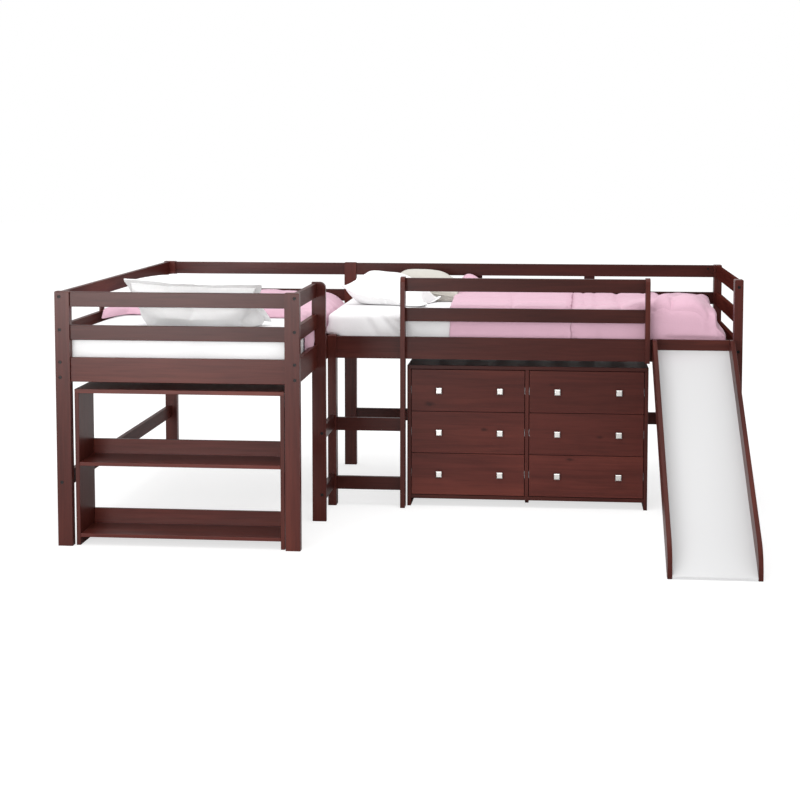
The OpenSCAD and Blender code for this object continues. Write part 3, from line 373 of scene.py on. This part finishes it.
def woven(name, colour, thread=0.0011, rough=0.88, sheen=0.25, crumple=0.5):
    """Plain-woven cloth on the piece's own UV map, which is in metres."""
    m = bpy.data.materials.new(name)
    m.use_nodes = True
    t = m.node_tree
    new, link = t.nodes.new, t.links.new
    b = t.nodes["Principled BSDF"]
    cut = new("ShaderNodeUVMap")
    cut.uv_map = "cut"
    place = new("ShaderNodeTexCoord")
    bands = []
    for way in ("X", "Y"):
        band = new("ShaderNodeTexWave")
        band.bands_direction = way
        band.inputs["Scale"].default_value = math.pi / (10 * thread)
        band.inputs["Distortion"].default_value = 0.6
        band.inputs["Detail"].default_value = 1.0
        link(cut.outputs[0], band.inputs["Vector"])
        bands.append(band.outputs["Fac"])
    weave = new("ShaderNodeMath")
    weave.operation = "MULTIPLY"
    link(bands[0], weave.inputs[0])
    link(bands[1], weave.inputs[1])
    cloudy = new("ShaderNodeTexNoise")
    cloudy.inputs["Scale"].default_value = 6.0
    cloudy.inputs["Detail"].default_value = 4.0
    link(place.outputs["Object"], cloudy.inputs["Vector"])
    slub = new("ShaderNodeTexNoise")
    slub.inputs["Scale"].default_value = 260.0
    slub.inputs["Detail"].default_value = 2.0
    link(cut.outputs[0], slub.inputs["Vector"])
    dye = new("ShaderNodeValToRGB")
    dye.color_ramp.elements[0].position, dye.color_ramp.elements[1].position = 0.3, 0.7
    dye.color_ramp.elements[0].color = tuple(c * 0.955 for c in colour) + (1,)
    dye.color_ramp.elements[1].color = tuple(colour) + (1,)
    link(cloudy.outputs["Fac"], dye.inputs["Fac"])
    yarn = new("ShaderNodeValToRGB")
    yarn.color_ramp.elements[0].position, yarn.color_ramp.elements[1].position = 0.3, 0.7
    yarn.color_ramp.elements[0].color = (0.95, 0.95, 0.95, 1)
    yarn.color_ramp.elements[1].color = (1, 1, 1, 1)
    link(slub.outputs["Fac"], yarn.inputs["Fac"])
    shade = new("ShaderNodeMix")
    shade.data_type, shade.blend_type = "RGBA", "MULTIPLY"
    shade.inputs["Factor"].default_value = 1.0
    link(dye.outputs[0], shade.inputs["A"])
    link(yarn.outputs[0], shade.inputs["B"])
    link(shade.outputs["Result"], b.inputs["Base Color"])
    nap = new("ShaderNodeMapRange")
    nap.inputs["To Min"].default_value, nap.inputs["To Max"].default_value = rough - 0.06, rough + 0.04
    link(slub.outputs["Fac"], nap.inputs["Value"])
    link(nap.outputs[0], b.inputs["Roughness"])
    b.inputs["Specular IOR Level"].default_value = 0.2
    b.inputs["Sheen Weight"].default_value = sheen
    b.inputs["Sheen Roughness"].default_value = 0.5
    soft = new("ShaderNodeTexNoise")
    soft.inputs["Scale"].default_value = 34.0
    soft.inputs["Detail"].default_value = 3.0
    soft.inputs["Distortion"].default_value = 0.8
    link(place.outputs["Object"], soft.inputs["Vector"])
    creases = new("ShaderNodeBump")
    creases.inputs["Strength"].default_value = crumple
    creases.inputs["Distance"].default_value = 0.003
    link(soft.outputs["Fac"], creases.inputs["Height"])
    threads = new("ShaderNodeBump")
    threads.inputs["Strength"].default_value = 0.25
    threads.inputs["Distance"].default_value = 0.0003
    link(weave.outputs[0], threads.inputs["Height"])
    link(creases.outputs[0], threads.inputs["Normal"])
    link(threads.outputs[0], b.inputs["Normal"])
    return m


percale = woven("white_percale", (0.91, 0.91, 0.915), crumple=0.25)
# radii of the foam block's standing corners and of its other edges
corner_r, edge_r = 0.036, 0.026


def mattress(node, creases):
    """A rounded foam block in its fitted sheet. A crease is (x, z, length, depth, lean) on its front."""
    low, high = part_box(node)
    bpy.ops.object.select_all(action="DESELECT")
    bpy.ops.mesh.primitive_cube_add(size=1, location=(low + high) / 2)
    o = bpy.context.object
    o.name = node + "_sheet"
    o.scale = high - low
    bpy.ops.object.transform_apply(location=True, rotation=True, scale=True)
    bpy.ops.object.mode_set(mode="EDIT")
    for upright, width, steps in ((True, corner_r, 6), (False, edge_r, 5)):
        bpy.ops.mesh.select_all(action="DESELECT")
        mesh = bmesh.from_edit_mesh(o.data)
        for e in mesh.edges:
            a, b = (v.co for v in e.verts)
            standing = abs(a.z - b.z) > 0.1
            e.select_set(standing if upright else not standing)
        bmesh.update_edit_mesh(o.data)
        bpy.ops.mesh.bevel(offset=width, segments=steps, affect="EDGES")
    bpy.ops.object.mode_set(mode="OBJECT")
    fine = o.modifiers.new("fine", "REMESH")
    fine.mode, fine.voxel_size = "VOXEL", 0.0115
    bpy.ops.object.modifier_apply(modifier="fine")
    centre, half = (low + high) / 2, (high - low) / 2
    crease_depth, at_side = 0.0022, 0.96
    for v in o.data.vertices:
        p = v.co
        u, w = (p.x - centre.x) / half.x, (p.y - centre.y) / half.y
        up = ramp(centre.z, high.z, p.z)
        # drawn cloth: long shallow creases that run out of each corner
        corner = ramp(0.62, 1.0, abs(u)) * ramp(0.55, 1.0, abs(w))
        fan = math.atan2(half.y - abs(p.y - centre.y) + 0.02, half.x - abs(p.x - centre.x) + 0.02)
        pull = crease_depth * corner * math.sin(fan * 17 + 3 * noise.noise(p * 4))
        calm = 0.0016 * noise.noise(Vector((p.x * 3.1, p.y * 3.1, p.z * 5))) + 0.0007 * noise.noise(p * 17)
        side = 1 - up if abs(u) > at_side or abs(w) > at_side else 0
        p.z += up * (pull + calm - crease_depth)
        if side:
            out = Vector((u if abs(u) > at_side else 0, w if abs(w) > at_side else 0, 0)).normalized()
            dimple = 1.6 * calm + 0.0015 * noise.noise(Vector((p.x * 12, p.y * 12, p.z * 3)))
            p += out * min(0.0, side * dimple - 0.001)
        for x, z, length, depth, lean in creases:
            if w < -0.8:
                along = (p.x - x) * math.sin(lean) - (p.z - z) * math.cos(lean)
                off = (p.x - x) * math.cos(lean) + (p.z - z) * math.sin(lean)
                fold = math.exp(-(off / 0.012) ** 2) - 0.7 * math.exp(-((off - 0.022) / 0.014) ** 2)
                p.y += depth * fold * ramp(0, 0.04, along) * ramp(length, length * 0.5, along)
    o.data.polygons.foreach_set("use_smooth", [True] * len(o.data.polygons))
    cut = o.data.uv_layers.new(name="cut")
    for face in o.data.polygons:
        n = face.normal
        across, upward = (0, 1) if abs(n.z) > 0.6 else (0, 2) if abs(n.y) > abs(n.x) else (1, 2)
        for i in face.loop_indices:
            p = o.data.vertices[o.data.loops[i].vertex_index].co
            cut.data[i].uv = p[across], p[upward]
    o.data.materials.append(percale)
    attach(o, "frame")
    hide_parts(node)
    return o


# the second sheet is drawn in four creases from the low post along the front
a_sheet = mattress("a_mattress", ())
b_sheet = mattress("b_mattress", ((-0.285, 0.935, 0.17, 0.006, 0.55), (-0.215, 0.935, 0.20, 0.010, 0.72),
                                  (-0.165, 0.925, 0.17, 0.011, 0.80), (-0.120, 0.915, 0.13, 0.008, 0.78)))


def a_soft_r(y):
    """How far the first mattress rounds down on the right: more towards its head."""
    return edge_r + 0.110 * ramp(0.35, 0.95, y)


# where a mattress rounds down softly, its sheet lies this much inside the rounding
sunk = 0.005
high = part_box("a_mattress")[1]
for v in a_sheet.data.vertices:
    p = v.co
    soft = a_soft_r(p.y)
    over = Vector((max(0, p.x - high.x + soft), 0, max(0, p.z - high.z + soft)))
    if soft > 0.03 and over.length > soft - sunk:
        p += over * ((soft - sunk) / over.length - 1)

# the second mattress is pressed in by the low post below the post's top, bulges out above it, is
# drawn in at its foot, and rounds down along the open bay beside the slide
low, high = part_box("b_mattress")
post_top, post_r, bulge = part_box("b_corner_post")[1].z, 0.064, 0.022
bay_x, foot_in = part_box("b_slide_upright")[0].x, 0.060
for v in b_sheet.data.vertices:
    p = v.co
    corner = Vector((p.x - low.x - post_r, p.y - low.y - post_r))
    if corner.x < 0 and corner.y < 0 and corner.length > post_r - 0.001:
        pressed = ramp(post_top - 0.001, post_top - 0.009, p.z)
        inside = corner.normalized() * (post_r - 0.001)
        p.x += pressed * (inside.x - corner.x)
        p.y += pressed * (inside.y - corner.y)
    out = (bulge + 0.012 * ramp(0.885, 0.850, p.z)) * ramp(post_top - 0.007, post_top + 0.001, p.z)
    p.x -= out * ramp(low.x + 0.25, low.x, p.x)
    drawn = foot_in * ramp(low.y + 1.25, low.y + 0.35, p.y)
    p.x -= drawn * ramp(high.x - 0.4, high.x, p.x)
    soft = edge_r + 0.070 * ramp(bay_x - 0.04, bay_x + 0.12, p.x) * ramp(low.y + 1.25, low.y + 0.75, p.y)
    over = Vector((max(0, p.x - high.x + drawn + soft), max(0, low.y + soft - p.y),
                   max(0, p.z - high.z + soft)))
    if soft > 0.03 and over.length > soft - sunk:
        at = over * ((soft - sunk) / over.length - 1)
        p.x, p.y, p.z = p.x + at.x, p.y - at.y, p.z + at.z


# ---------------------------------------------------------------- pillows
# Three filled pillows in cotton shams: a closed case, sewn round the edge, with a flat flange outside
# the seam. The first leans on the foot boards, the other two lie against the back of the second bed.
def swelled(piece, held, pressure, slack, cap):
    """Blows a closed cloth shell up from inside; held points stay, and none moves further than cap."""
    frames = 20
    alone(piece)
    before = [v.co.copy() for v in piece.data.vertices]
    cloth = piece.modifiers.new("swell", "CLOTH")
    s = cloth.settings
    if held:
        sewn = piece.vertex_groups.new(name="sewn")
        sewn.add(held, 1.0, "REPLACE")
        s.vertex_group_mass = "sewn"
    s.quality, s.mass, s.air_damping = 6, 0.3, 1.0
    s.tension_stiffness = s.compression_stiffness = 15
    s.shear_stiffness, s.bending_stiffness = 5, 0.35
    s.use_pressure, s.uniform_pressure_force = True, pressure
    s.shrink_min = -slack
    s.effector_weights.gravity = 0
    cloth.collision_settings.use_collision = False
    cloth.collision_settings.use_self_collision = False
    cloth.point_cache.frame_start, cloth.point_cache.frame_end = 1, frames
    for f in range(1, frames + 1):
        bpy.context.scene.frame_set(f)
    bpy.ops.object.modifier_apply(modifier="swell")
    for v, a in zip(piece.data.vertices, before):
        move = v.co - a
        if move.length > cap:
            v.co = a + move.normalized() * cap
    bpy.context.scene.frame_set(1)


def shell(name, points, faces, uvs):
    """A new object from points and faces, with its cloth's flat cut as UV map."""
    mesh = bpy.data.meshes.new(name)
    mesh.from_pydata(points, [], faces)
    o = bpy.data.objects.new(name, mesh)
    bpy.context.scene.collection.objects.link(o)
    cut = mesh.uv_layers.new(name="cut")
    for loop in mesh.loops:
        cut.data[loop.index].uv = uvs[loop.vertex_index]
    mesh.polygons.foreach_set("use_smooth", [True] * len(mesh.polygons))
    return o


def border(n, m):
    """The grid places round a cloth of n by m squares, in order."""
    return ([(i, 0) for i in range(n)] + [(n, j) for j in range(m)]
            + [(i, m) for i in range(n, 0, -1)] + [(0, j) for j in range(m, 0, -1)])


def refined(o):
    """Gives a cloth piece a finer and smoother mesh."""
    alone(o)
    smooth = o.modifiers.new("smooth", "SUBSURF")
    smooth.levels = smooth.render_levels = 1
    bpy.ops.object.modifier_apply(modifier="smooth")


def sham(name, length, width, thick, flange, seed, above, waves, bow=0.016, square=0.0,
         crown=0.52, curl=0.0, slack=0.05):
    """A filled case lying flat round the origin, with its flange. above is the share of its filling
    over the seam, waves are the flange's, bow draws its sides in, square makes its underside boxier,
    crown rounds its top, curl lifts its corners, and slack is the cloth's ease in the swelling."""
    n, m = 56, 38
    points, uvs, faces = [], [], []
    index = {}
    for top in (1, -1):
        for j in range(m + 1):
            for i in range(n + 1):
                u, v = 2 * i / n - 1, 2 * j / m - 1
                edge = i in (0, n) or j in (0, m)
                if edge and top == -1:
                    index[top, i, j] = index[1, i, j]
                    continue
                k = 2.6 + (square if top == -1 else 0)
                e = crown if top == 1 else 0.52
                puff = (max(0, 1 - abs(u) ** k) ** e) * (max(0, 1 - abs(v) ** k) ** 0.52)
                share = above if top == 1 else 1 - above
                lumpy = 0.80 + 0.12 * noise.noise(Vector((u * 1.7, v * 1.7, seed + top)))
                full = share * thick * puff * lumpy
                in_x, in_y = bow * (1 - v * v) * abs(u) ** 3, bow * (1 - u * u) * abs(v) ** 3
                x, y = u * length / 2, v * width / 2
                index[top, i, j] = len(points)
                points.append((x - math.copysign(in_x, u), y - math.copysign(in_y, v),
                               top * full + curl * u ** 6 * v ** 4))
                uvs.append((x + seed, y))
    for top in (1, -1):
        for j in range(m):
            for i in range(n):
                f = [index[top, i, j], index[top, i + 1, j], index[top, i + 1, j + 1], index[top, i, j + 1]]
                faces.append(f if top == 1 else f[::-1])
    o = shell(name, points, faces, uvs)
    swelled(o, [], pressure=5.0, slack=slack, cap=0.028)
    # the flange runs from the seam outwards and back: two layers of cloth with a hem, in gentle waves
    loop = border(n, m)
    verts = [tuple(v.co) for v in o.data.vertices]
    faces = [tuple(p.vertices) for p in o.data.polygons]
    count = len(loop)
    upper = ((-0.10, 0.0022), (0.06, 0.0012), (0.40, 0.0024),
             (0.80, 0.0024), (0.90, 0.0014), (0.95, 0.0030))
    rows = upper + ((1.0, 0.0004),) + tuple((reach, -rise) for reach, rise in reversed(upper))
    start = len(verts)
    for reach, rise in rows:
        for k, (i, j) in enumerate(loop):
            base = Vector(verts[index[1, i, j]])
            u, v = 2 * i / n - 1, 2 * j / m - 1
            way = Vector((math.copysign(abs(u) ** 14, u), math.copysign(abs(v) ** 10, v), 0))
            wave = reach * flange * (waves * noise.noise(Vector((k * 0.05, seed, 0)))
                                     + 0.10 * noise.noise(Vector((k * 0.17, seed, 4))))
            verts.append(tuple(base + way * flange * reach + Vector((0, 0, rise + wave * max(0, reach)))))
            uvs.append((u * length / 2 + way.x * flange * reach + seed,
                        v * width / 2 + way.y * flange * reach))
    for r in range(len(rows)):
        here, after = start + r * count, start + (r + 1) % len(rows) * count
        for k in range(count):
            k2 = (k + 1) % count
            faces.append((here + k, after + k, after + k2, here + k2))
    bpy.data.objects.remove(o)
    o = shell(name, verts, faces, uvs)
    alone(o)
    bpy.ops.object.mode_set(mode="EDIT")
    bpy.ops.mesh.select_all(action="SELECT")
    bpy.ops.mesh.normals_make_consistent(inside=False)
    bpy.ops.object.mode_set(mode="OBJECT")
    refined(o)
    return o


def laid(o, turn, centre, floor_z):
    """Turns a pillow by degrees about X, Y and Z, brings it to its place and settles it on the sheet."""
    flatten = 0.012
    spin = Euler([math.radians(d) for d in turn]).to_matrix()
    for v in o.data.vertices:
        v.co = spin @ v.co + Vector(centre)
        if v.co.z < floor_z + flatten:
            v.co.z = floor_z + 0.0006 + flatten * math.exp((v.co.z - floor_z - flatten) / flatten) * 0.9


def dressed(o, cloth, node):
    """Gives a filled piece its cloth, hangs it on the frame's body, and hides the CAD node it replaces."""
    o.data.materials.clear()
    o.data.materials.append(cloth)
    o.data.polygons.foreach_set("use_smooth", [True] * len(o.data.polygons))
    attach(o, "frame")
    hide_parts(node)


sheet_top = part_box("a_mattress")[1].z
settled = sheet_top - 0.0015
sateen = woven("white_sateen", (0.93, 0.93, 0.93), thread=0.0009, rough=0.8, crumple=0.35)
oatmeal = woven("oatmeal_linen", (0.55, 0.525, 0.475), thread=0.0014, rough=0.9, crumple=0.45)

low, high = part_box("a_pillow")
middle = (low + high) / 2
a_pillow = sham("a_sham", length=0.574, width=0.345, thick=0.212, flange=0.026, seed=1.0,
                above=0.37, waves=0.30, bow=0.004, square=3.0, slack=0.015)
laid(a_pillow, (-31, 1.6, 0), (middle.x + 0.010, middle.y, middle.z), settled)
dressed(a_pillow, sateen, "a_pillow")

low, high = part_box("b_pillow_front")
middle = (low + high) / 2
b_front = sham("b_front_sham", length=0.426, width=0.300, thick=0.176, flange=0.013, seed=2.0,
               above=0.71, waves=0.8, bow=0.020, curl=0.040)
laid(b_front, (1, 11, -8), (middle.x - 0.010, middle.y, low.z + 0.030), settled)
dressed(b_front, sateen, "b_pillow_front")

low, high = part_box("b_pillow_back")
b_back = sham("b_back_sham", length=0.372, width=0.295, thick=0.184, flange=0.010, seed=3.0,
              above=0.55, waves=0.45, square=3.0, crown=0.62)
laid(b_back, (3, 8, -3), (-0.042, (low.y + high.y) / 2 - 0.060, low.z + 0.056), settled)
dressed(b_back, oatmeal, "b_pillow_back")


# ---------------------------------------------------------------- comforters
# Two pink microfibre comforters: two layers of cloth with polyester filling between, quilted in wide
# panels and hemmed all round. They lie on the mattresses and hang between these and the rails.
brushed = woven("pink_microfibre", (0.68, 0.42, 0.52), thread=0.0008, rough=0.82, sheen=0.15,
                crumple=0.55)
pitch = 0.0125


def stations(a, b, through):
    """Places from a to b about a pitch apart, with one on each line of through."""
    marks = sorted([a, b] + [t for t in through if a + pitch < t < b - pitch])
    out = []
    for lo, hi in zip(marks, marks[1:]):
        count = max(1, round((hi - lo) / pitch))
        out += [lo + (hi - lo) * k / count for k in range(count)]
    return out + [b]


def quilt(name, across, along, place, thick, seams_across, seams_along, slack, cap, turns=()):
    """A filled, quilted cover with a hem all round. across and along are its first and last place in
    each direction, place(a, b) is its middle surface, thick(a, b) its thickness, and turns are lines
    across which it is folded."""
    across, along = stations(*across, [*turns, *seams_across]), stations(*along, seams_along)
    n, m = len(across) - 1, len(along) - 1
    points, uvs, held = [], [], []
    step, at_hem, by_hem, at_seam = 0.001, 0.16, 0.62, 0.30
    for side in (1, -1):
        for j, b in enumerate(along):
            for i, a in enumerate(across):
                here = place(a, b)
                da, db = place(a + step, b) - place(a - step, b), place(a, b + step) - place(a, b - step)
                out = da.cross(db).normalized()
                edge = min(i, n - i, j, m - j)
                seam = any(abs(a - s) < 0.004 for s in seams_across)
                seam = seam or any(abs(b - s) < 0.004 for s in seams_along)
                share = at_hem if edge == 0 else by_hem if edge == 1 else at_seam if seam else 1.0
                full = thick(a, b) * share
                if edge == 0 or seam:
                    held.append(len(points))
                points.append(tuple(here + out * side * full / 2))
                uvs.append((a, b))
    grid = (n + 1) * (m + 1)
    faces = []
    for j in range(m):
        for i in range(n):
            f = (j * (n + 1) + i, j * (n + 1) + i + 1, (j + 1) * (n + 1) + i + 1, (j + 1) * (n + 1) + i)
            faces.append(f)
            faces.append(tuple(grid + k for k in f[::-1]))
    hem = border(n, m)
    for k, (i, j) in enumerate(hem):
        i2, j2 = hem[(k + 1) % len(hem)]
        a, b = j * (n + 1) + i, j2 * (n + 1) + i2
        faces.append((b, a, grid + a, grid + b))
    o = shell(name, points, faces, uvs)
    swelled(o, held, pressure=4.0, slack=slack, cap=cap)
    return o


def draped(x, y, lift, edge_x, edge_y, bend, spread=0.0):
    """Takes a flat place on a cover to its place over a mattress's right and front edges, lift above
    the surface. bend is the radius of the turn, and spread lets the cover stand off as it hangs."""
    dx, dy = max(0.0, x - edge_x + bend), max(0.0, edge_y - y + bend)
    d = math.hypot(dx, dy)
    if d == 0:
        return Vector((x, y, top + lift))
    ux, uy = dx / d, -dy / d
    turn = min(d / bend, math.pi / 2)
    hang = max(0.0, d - bend * math.pi / 2)
    side = (bend + lift) * math.sin(turn) + spread * hang
    start = Vector((x if dx == 0 else edge_x - bend, y if dy == 0 else edge_y + bend, top - bend))
    return start + Vector((ux * side, uy * side, (bend + lift) * math.cos(turn) - hang))


# the covers lie a little above the sheets
top = sheet_top + 0.0015

# first bed: front edge drawn back at its middle, right side hanging
low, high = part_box("a_mattress")
a_left, a_edge, a_back = low.x + 0.006, high.x, high.y - 0.008
a_wide, a_long = 1.09, 1.40


def a_thinned(x, y):
    """The filling is pressed flat towards the head at the right: 1 where it is flattest."""
    step_down, slow_down = ramp(a_edge - 0.40, a_edge - 0.34, x), ramp(a_edge - 0.30, a_edge - 0.10, x)
    return ramp(0.45, 0.95, y) * (0.55 * step_down + 0.45 * slow_down)


def a_place(a, b):
    """a runs across from the left, b from the head to the front edge."""
    front = -0.33 + 0.24 * ramp(0, 0.06, a) - 0.075 * ramp(0.35, 0.70, a) - 0.235 * ramp(0.85, 0.95, a)
    x, y = a_left + a, a_back - b / a_long * (a_back - front)
    soft = Vector((x * 5, y * 5, 3))
    ripple = (0.006 * noise.noise(soft) + 0.003 * noise.noise(soft * 2.7)) * ramp(0.0, 0.1, b)
    ripple += 0.010 * ramp(1.15, 1.36, b) * (0.5 + noise.noise(Vector((x * 9, y * 4, 1.3))))
    thin = a_thinned(x, y)
    lift = 0.013 - 0.0065 * thin + max(-0.001, ripple) * (1 - thin)
    # the front corner at the left is turned up; the front hem lies close to the sheet, and as it
    # doesn't reach the mattress's front, the edge there is put far off
    lift += 0.024 * ramp(0.13, 0.0, a) * ramp(1.0, 1.25, b)
    lift = 0.0025 + (lift - 0.0025) * ramp(a_long + 0.002, a_long - 0.050, b)
    far_off = -9
    return draped(x, y, lift, a_edge + 0.002, far_off, a_soft_r(y))


def a_thick(a, b):
    """Thinner where it hangs over the right edge, and where it is pressed flat."""
    over = max(0.0, a_left + a - a_edge + 0.03)
    thin = a_thinned(a_left + a, a_back - b / a_long * (a_back + 0.3))
    return (0.024 - 0.010 * ramp(0.0, 0.06, over)) * (1 - thin) + 0.011 * thin


a_seams_x, a_seams_y = [0.24, 0.48, 0.72], [0.28, 0.56, 0.84, 1.12]
a_cover = quilt("a_quilt", (0, a_wide), (0, a_long), a_place, a_thick,
                a_seams_x, a_seams_y, slack=0.03, cap=0.005)


def covered(o, node):
    """Finishes a comforter: a finer mesh and its cloth; the CAD node it replaces is hidden."""
    refined(o)
    dressed(o, brushed, node)


covered(a_cover, "a_comforter")

# second bed: folded double at its left, rumpled to the right of that, hanging over the front and foot
low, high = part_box("b_mattress")
b_left, b_front_y, b_foot, b_back_y = low.x + 0.571, low.y, high.x, high.y - 0.006
doubled, turn_r = 0.570, 0.0105
around = math.pi * turn_r
b_single, lean, tip_lift = 1.42, 0.034, 0.088
dome_lift, dome_y = 0.066, b_front_y + 0.113
# x of the valleys where the loose layer is gathered, between the fold and the foot
gathers = (0.724, 0.781, 0.838, 0.962, 1.100, 1.185, 1.378, 1.520)


def b_thick(a, b):
    """Fuller where it lies double, thinner where it hangs."""
    over = max(0.0, b - (b_back_y - b_front_y) + 0.03)
    foot = max(0.0, b_left + a - b_foot + 0.03) if a > 0 else 0.0
    two = 1 - ramp(doubled - 0.04, doubled + 0.02, abs(a))
    deep = max(ramp(0.0, 0.06, over), ramp(0.0, 0.06, foot))
    return (0.0130 + 0.0030 * two) * (1 - deep) + (0.0130 - 0.0050 * two) * deep


def b_place(a, b):
    """a runs from the free edge of the upper layer (below 0) round the fold and along the bed."""
    t = b_thick(a, b)
    r = (t + 0.0015) / 2
    y = b_back_y - b
    back = ramp(-0.2, 1.3, (y - b_front_y) / (b_back_y - b_front_y))
    if a < 0:
        x, lift = b_left + r - a, t / 2 + 2 * r
        x += back * (-lean + 0.052 * ramp(-0.28, -doubled, a))
        free = ramp(-doubled + 0.05, -doubled, a)
        lift += free * 0.004 * math.sin(b * 110) + 0.002 * free
        x += free * (0.006 * noise.noise(Vector((b * 14, 2, 0))) + 0.004 * math.sin(b * 97))
    elif a < around:
        f = a / turn_r
        x, lift = b_left + r - r * math.sin(f) - lean * back, t / 2 + r + r * math.cos(f)
    else:
        x, lift = b_left + r + (a - around), t / 2
        x -= lean * back * ramp(0.4, 0.0, a - around)
    x += 0.003 * noise.noise(Vector((b * 26, 7, 0))) * ramp(0.06, 0.0, abs(a))
    loose = ramp(b_left + doubled - 0.02, b_left + doubled + 0.06, x)
    bay = ramp(bay_x - 0.04, bay_x + 0.12, x)
    near = ramp(b_front_y + 0.65, b_front_y + 0.25, y)
    if a >= around:
        flat = Vector((x * 7.0, y * 5.0, 5.0))
        along = x + 0.030 * noise.noise(Vector((x * 3, y * 3.5, 2))) * ramp(1.05, 0.7, y)
        puffed = 0.0
        for lo, hi in zip(gathers, gathers[1:]):
            if lo <= along < hi:
                puffed = math.sin(math.pi * (along - lo) / (hi - lo)) ** 0.6
        lift += loose * 0.0090 * puffed
        lift += loose * (0.005 * abs(noise.noise(flat * 1.6)) + 0.003 * abs(noise.noise(flat * 3.4)))
        # the filling has slid down to the foot and lies there in a mound
        dome = ramp(bay_x - 0.22, bay_x + 0.16, x) * (1 - 0.45 * ramp(b_foot - 0.225, b_foot - 0.065, x))
        mound = math.exp(-((y - dome_y) / (0.20 if y < dome_y else 0.26)) ** 2)
        lift += dome_lift * dome * mound * (0.80 + 0.20 * puffed)
    # the back corner of the fold stands up
    corner = x - b_left - 0.035
    tip = math.exp(-(corner / (0.048 if corner < 0 else 0.092)) ** 2 - ((b - 0.04) / 0.07) ** 2)
    lift += tip_lift * tip * (1 if a < 0 else 0.6)
    # it hangs over the drawn-in foot of the mattress and its front edge, in wider turns at the bay
    end = b_foot - 0.002 - 0.8 * foot_in * ramp(b_front_y + 1.15, b_front_y + 0.25, y)
    far = ramp(b_front_y + 1.25, b_front_y + 0.75, y)
    bend = 0.010 + 0.016 * bay + (0.052 - 0.030 * near) * bay * far
    return draped(x, y, max(t / 2, lift), end, b_front_y - 0.001, bend, spread=0.25 * bay * near)


b_long = b_back_y - b_front_y + 0.115
b_seams_x = [-0.295, around + 0.28, around + doubled, around + doubled + 0.24, around + doubled + 0.475]
b_seams_y = [0.24, 0.48, 0.72, b_long - 0.03]
b_cover = quilt("b_quilt", (-doubled, around + b_single), (0, b_long), b_place, b_thick,
                b_seams_x, b_seams_y, slack=0.035, cap=0.004, turns=(0.0, around))
# after the swelling: the front hangs close before the mattress, the inner layer keeps its distance
# from the outer one, and the cover lies lower towards the foot
outer_count = len(b_cover.data.vertices) // 2
layers_apart, front_out, fold_in, ease = 0.006, 0.018, 0.014, 0.02
for v in b_cover.data.vertices:
    p = v.co
    inner = layers_apart if v.index >= outer_count else 0.0
    tucked = ramp(bay_x + 0.20, bay_x - 0.02, p.x) if p.z > 0.835 else 1
    p.y = max(p.y, b_front_y - front_out - 0.012 * (1 - tucked) + inner * ramp(1.00, 1.08, p.x))
    p.z -= 0.026 * ramp(b_foot - 0.175, b_foot - 0.065, p.x) * ramp(0.94, 0.98, p.z) * ramp(0.85, 0.45, p.y)
    if p.x > b_foot - 0.165 and p.z > 0.70:
        # the corner: a sunk fold, a flap to its right, and the hem standing out below
        centre = Vector((p.x - b_foot + 0.150, p.y - b_front_y - 0.038))
        fold = math.exp(-((math.atan2(-centre.y, centre.x) - 0.80) / 0.17) ** 2)
        fold *= ramp(0.90, 0.93, p.z) * ramp(1.03, 1.00, p.z)
        if centre.length > 0.03:
            p.x -= fold_in * fold * centre.x / centre.length
            p.y -= fold_in * fold * centre.y / centre.length
        limit = b_foot - 0.069 + 0.050 * ramp(0.895, 0.835, p.z) + 0.065 * (p.y - 0.10) - inner
        beyond = p.x - limit + ease
        if beyond > 0:
            p.x = limit - ease * math.exp(-beyond / ease)
covered(b_cover, "b_comforter")
